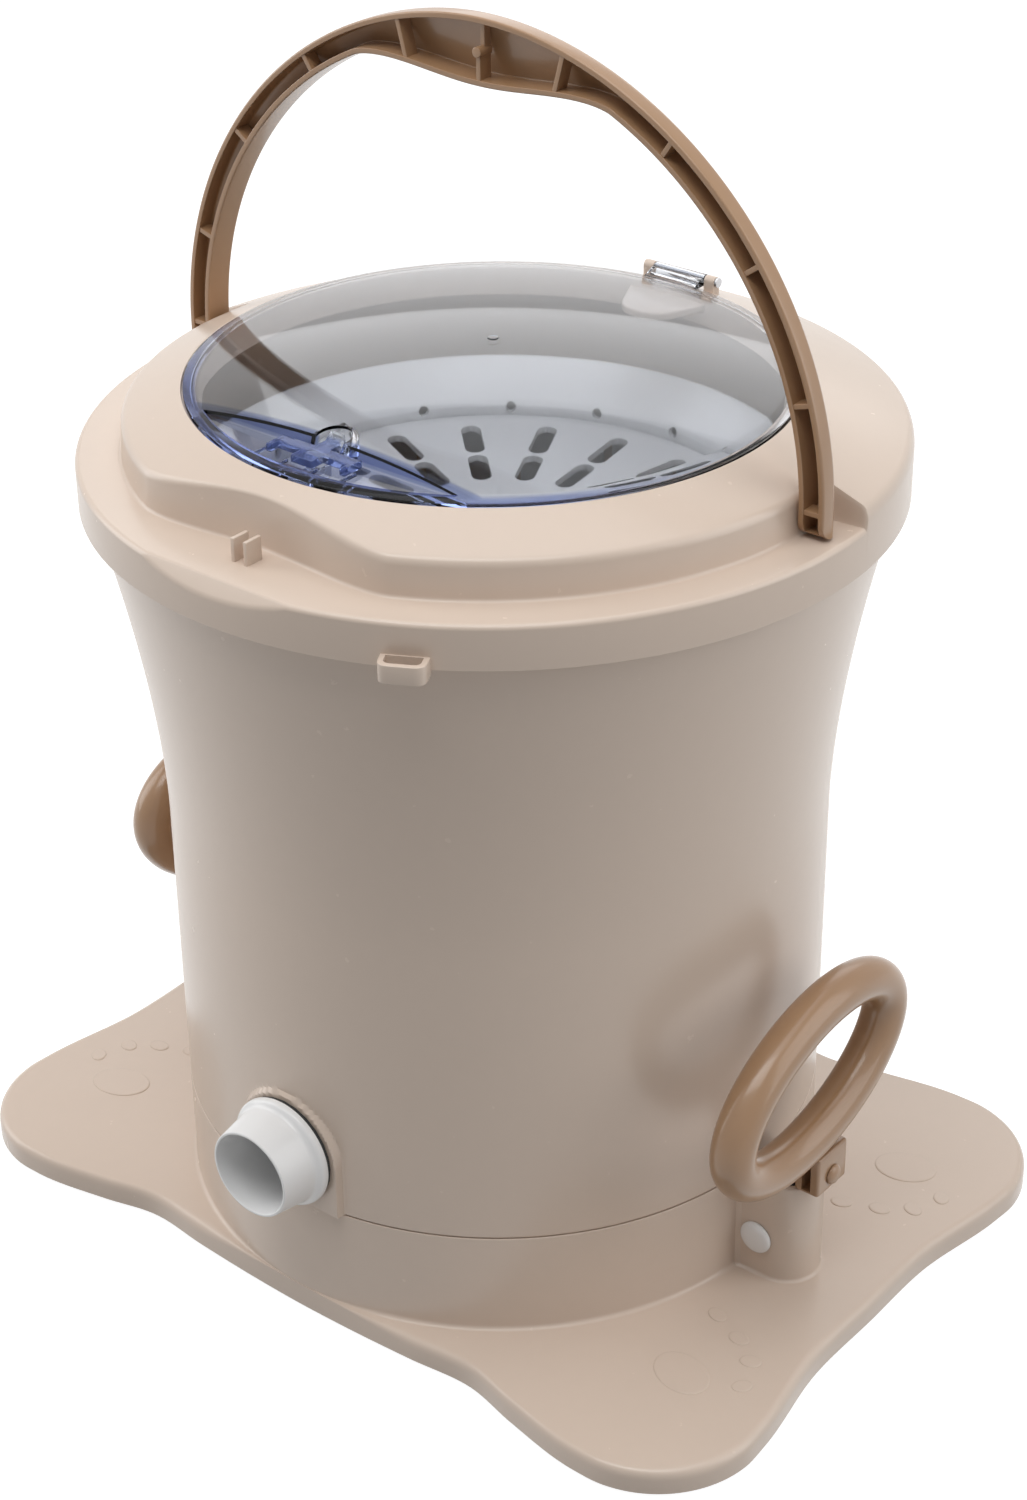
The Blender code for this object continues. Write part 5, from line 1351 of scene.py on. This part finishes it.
for sideName, sideTurn in (("right", 0), ("left", 180)):
    makeRing(sideName, sideTurn)
    makePlug(sideName, sideTurn)
    makeRollerPin(sideName, sideTurn)
print("pulls")

# Spin basket's white pieces: the funnel and the slotted cover under the window

spin = {
    "lip": 102.6 * mm,
    "collar": 118.3 * mm,
    "top": 316 * mm,
    "skirt": 18 * mm,
    "wall": 2.2 * mm,
    "level": 295.9 * mm,
    "cover": 101.5 * mm,
    "coverWall": 2.6 * mm,
    "dish": 4 * mm,
    "count": 18,
    "turn": 15.5,
    "slotHalf": 4 * mm,
    "slotShares": ((0.445, 0.66), (0.68, 0.91)),
    "holeHalf": 2.1 * mm,
}


def makeCollar():
    wall, lip, top, level = spin["wall"], spin["lip"], spin["top"], spin["level"]
    ledgeTop = level - spin["coverWall"] - 0.3 * mm
    skirtIn = spin["collar"] - 2.2 * mm
    corners = [
        (spin["collar"] - wall * 0.9, top),
        (spin["collar"], top - wall * 0.6),
        (spin["collar"], top - spin["skirt"]),
        (skirtIn, top - spin["skirt"]),
        (skirtIn, top - wall * 2.2),
        (spin["collar"] - 5 * mm, top - wall * 2.5),
        (lip + wall, level + wall * 1.5),
        (lip + wall, ledgeTop - wall),
        (lip - 3.6 * mm, ledgeTop - wall),
        (lip - 3.6 * mm, ledgeTop),
        (lip, ledgeTop),
        (lip, level + wall * 1.5),
        (lip + wall / 2, level + wall * 2.5),
    ]
    reaches = [0.8 * mm, 0.8 * mm, 0.3 * mm, 0.3 * mm, 0.5 * mm, 1 * mm, 1.2 * mm]
    reaches += [0.4 * mm, 0.4 * mm, 0.4 * mm, 0.3 * mm, 0.6 * mm, 1.4 * mm]
    collar = turnedPiece("funnel", corners, reaches, 216, 5)
    holes = []
    half = spin["holeHalf"]
    for i in range(spin["count"]):
        outline = circle((0, level + half * 1.35), half, 20)
        hole = slabPiece("hole", outline, lip - 2 * mm, lip + 5 * mm, axis="x")
        holes.append(moved(hole, turnAbout("z", spin["turn"] + 360 / spin["count"] * (i + 0.5))))
    cutBy(collar, holes)
    dress(collar, white, "basket", ["basket_collar"])


# The cover is dished: height = level - dish (1 - (r/R)^2), and its slots are round-ended and point outwards.
def makeCover():
    edge, level, dish, wall = spin["cover"], spin["level"], spin["dish"], spin["coverWall"]
    rings = np.linspace(0, edge - 0.7 * mm, 24)
    top = np.stack([rings, level - dish * (1 - (rings / edge) ** 2)], 1)
    rim = [(edge - 0.2 * mm, level - 0.2 * mm), (edge, level - 0.7 * mm), (edge, level - wall + 0.3 * mm)]
    bottom = np.stack([rings[::-1], level - wall - dish * (1 - (rings[::-1] / edge) ** 2)], 1)
    plate = gridPiece("slotted_cover", turnedGrid(np.vstack([top, rim, bottom]), fullTurn(216)), caps=False)
    slots = []
    half = spin["slotHalf"]
    for i in range(spin["count"]):
        for low, high in spin["slotShares"]:
            start, end = edge * low + half, edge * high - half
            arc = np.linspace(-math.pi / 2, math.pi / 2, 12)
            outline = np.vstack(
                [
                    np.stack([end + half * np.cos(arc), half * np.sin(arc)], 1),
                    np.stack([start - half * np.cos(arc), -half * np.sin(arc)], 1),
                ]
            )
            slot = slabPiece("slot", outline, level - 12 * mm, level + 4 * mm)
            slots.append(moved(slot, turnAbout("z", spin["turn"] + 360 / spin["count"] * i)))
    cutBy(plate, slots)
    dress(plate, white, "cover", ["basket_cover"])


makeCollar()
makeCover()
print("basket pieces")

# The solids that stay get their finishes here
slotFinishes = {
    "beige_plastic": beige,
    "brown_plastic": brown,
    "white_plastic": white,
    "clear_plastic": clear,
    "rubber": rubber,
    "rope": rope,
    "steel": steel,
    "brass": brass,
}
for part in frame["record"]["subparts"]:
    solid = frame["nodes"][part["node"]]
    solid.data.materials.clear()
    solid.data.materials.append(slotFinishes[part["material_slot"]])
    solid.data.shade_smooth()
    solid.data.set_sharp_from_angle(angle=math.radians(30))
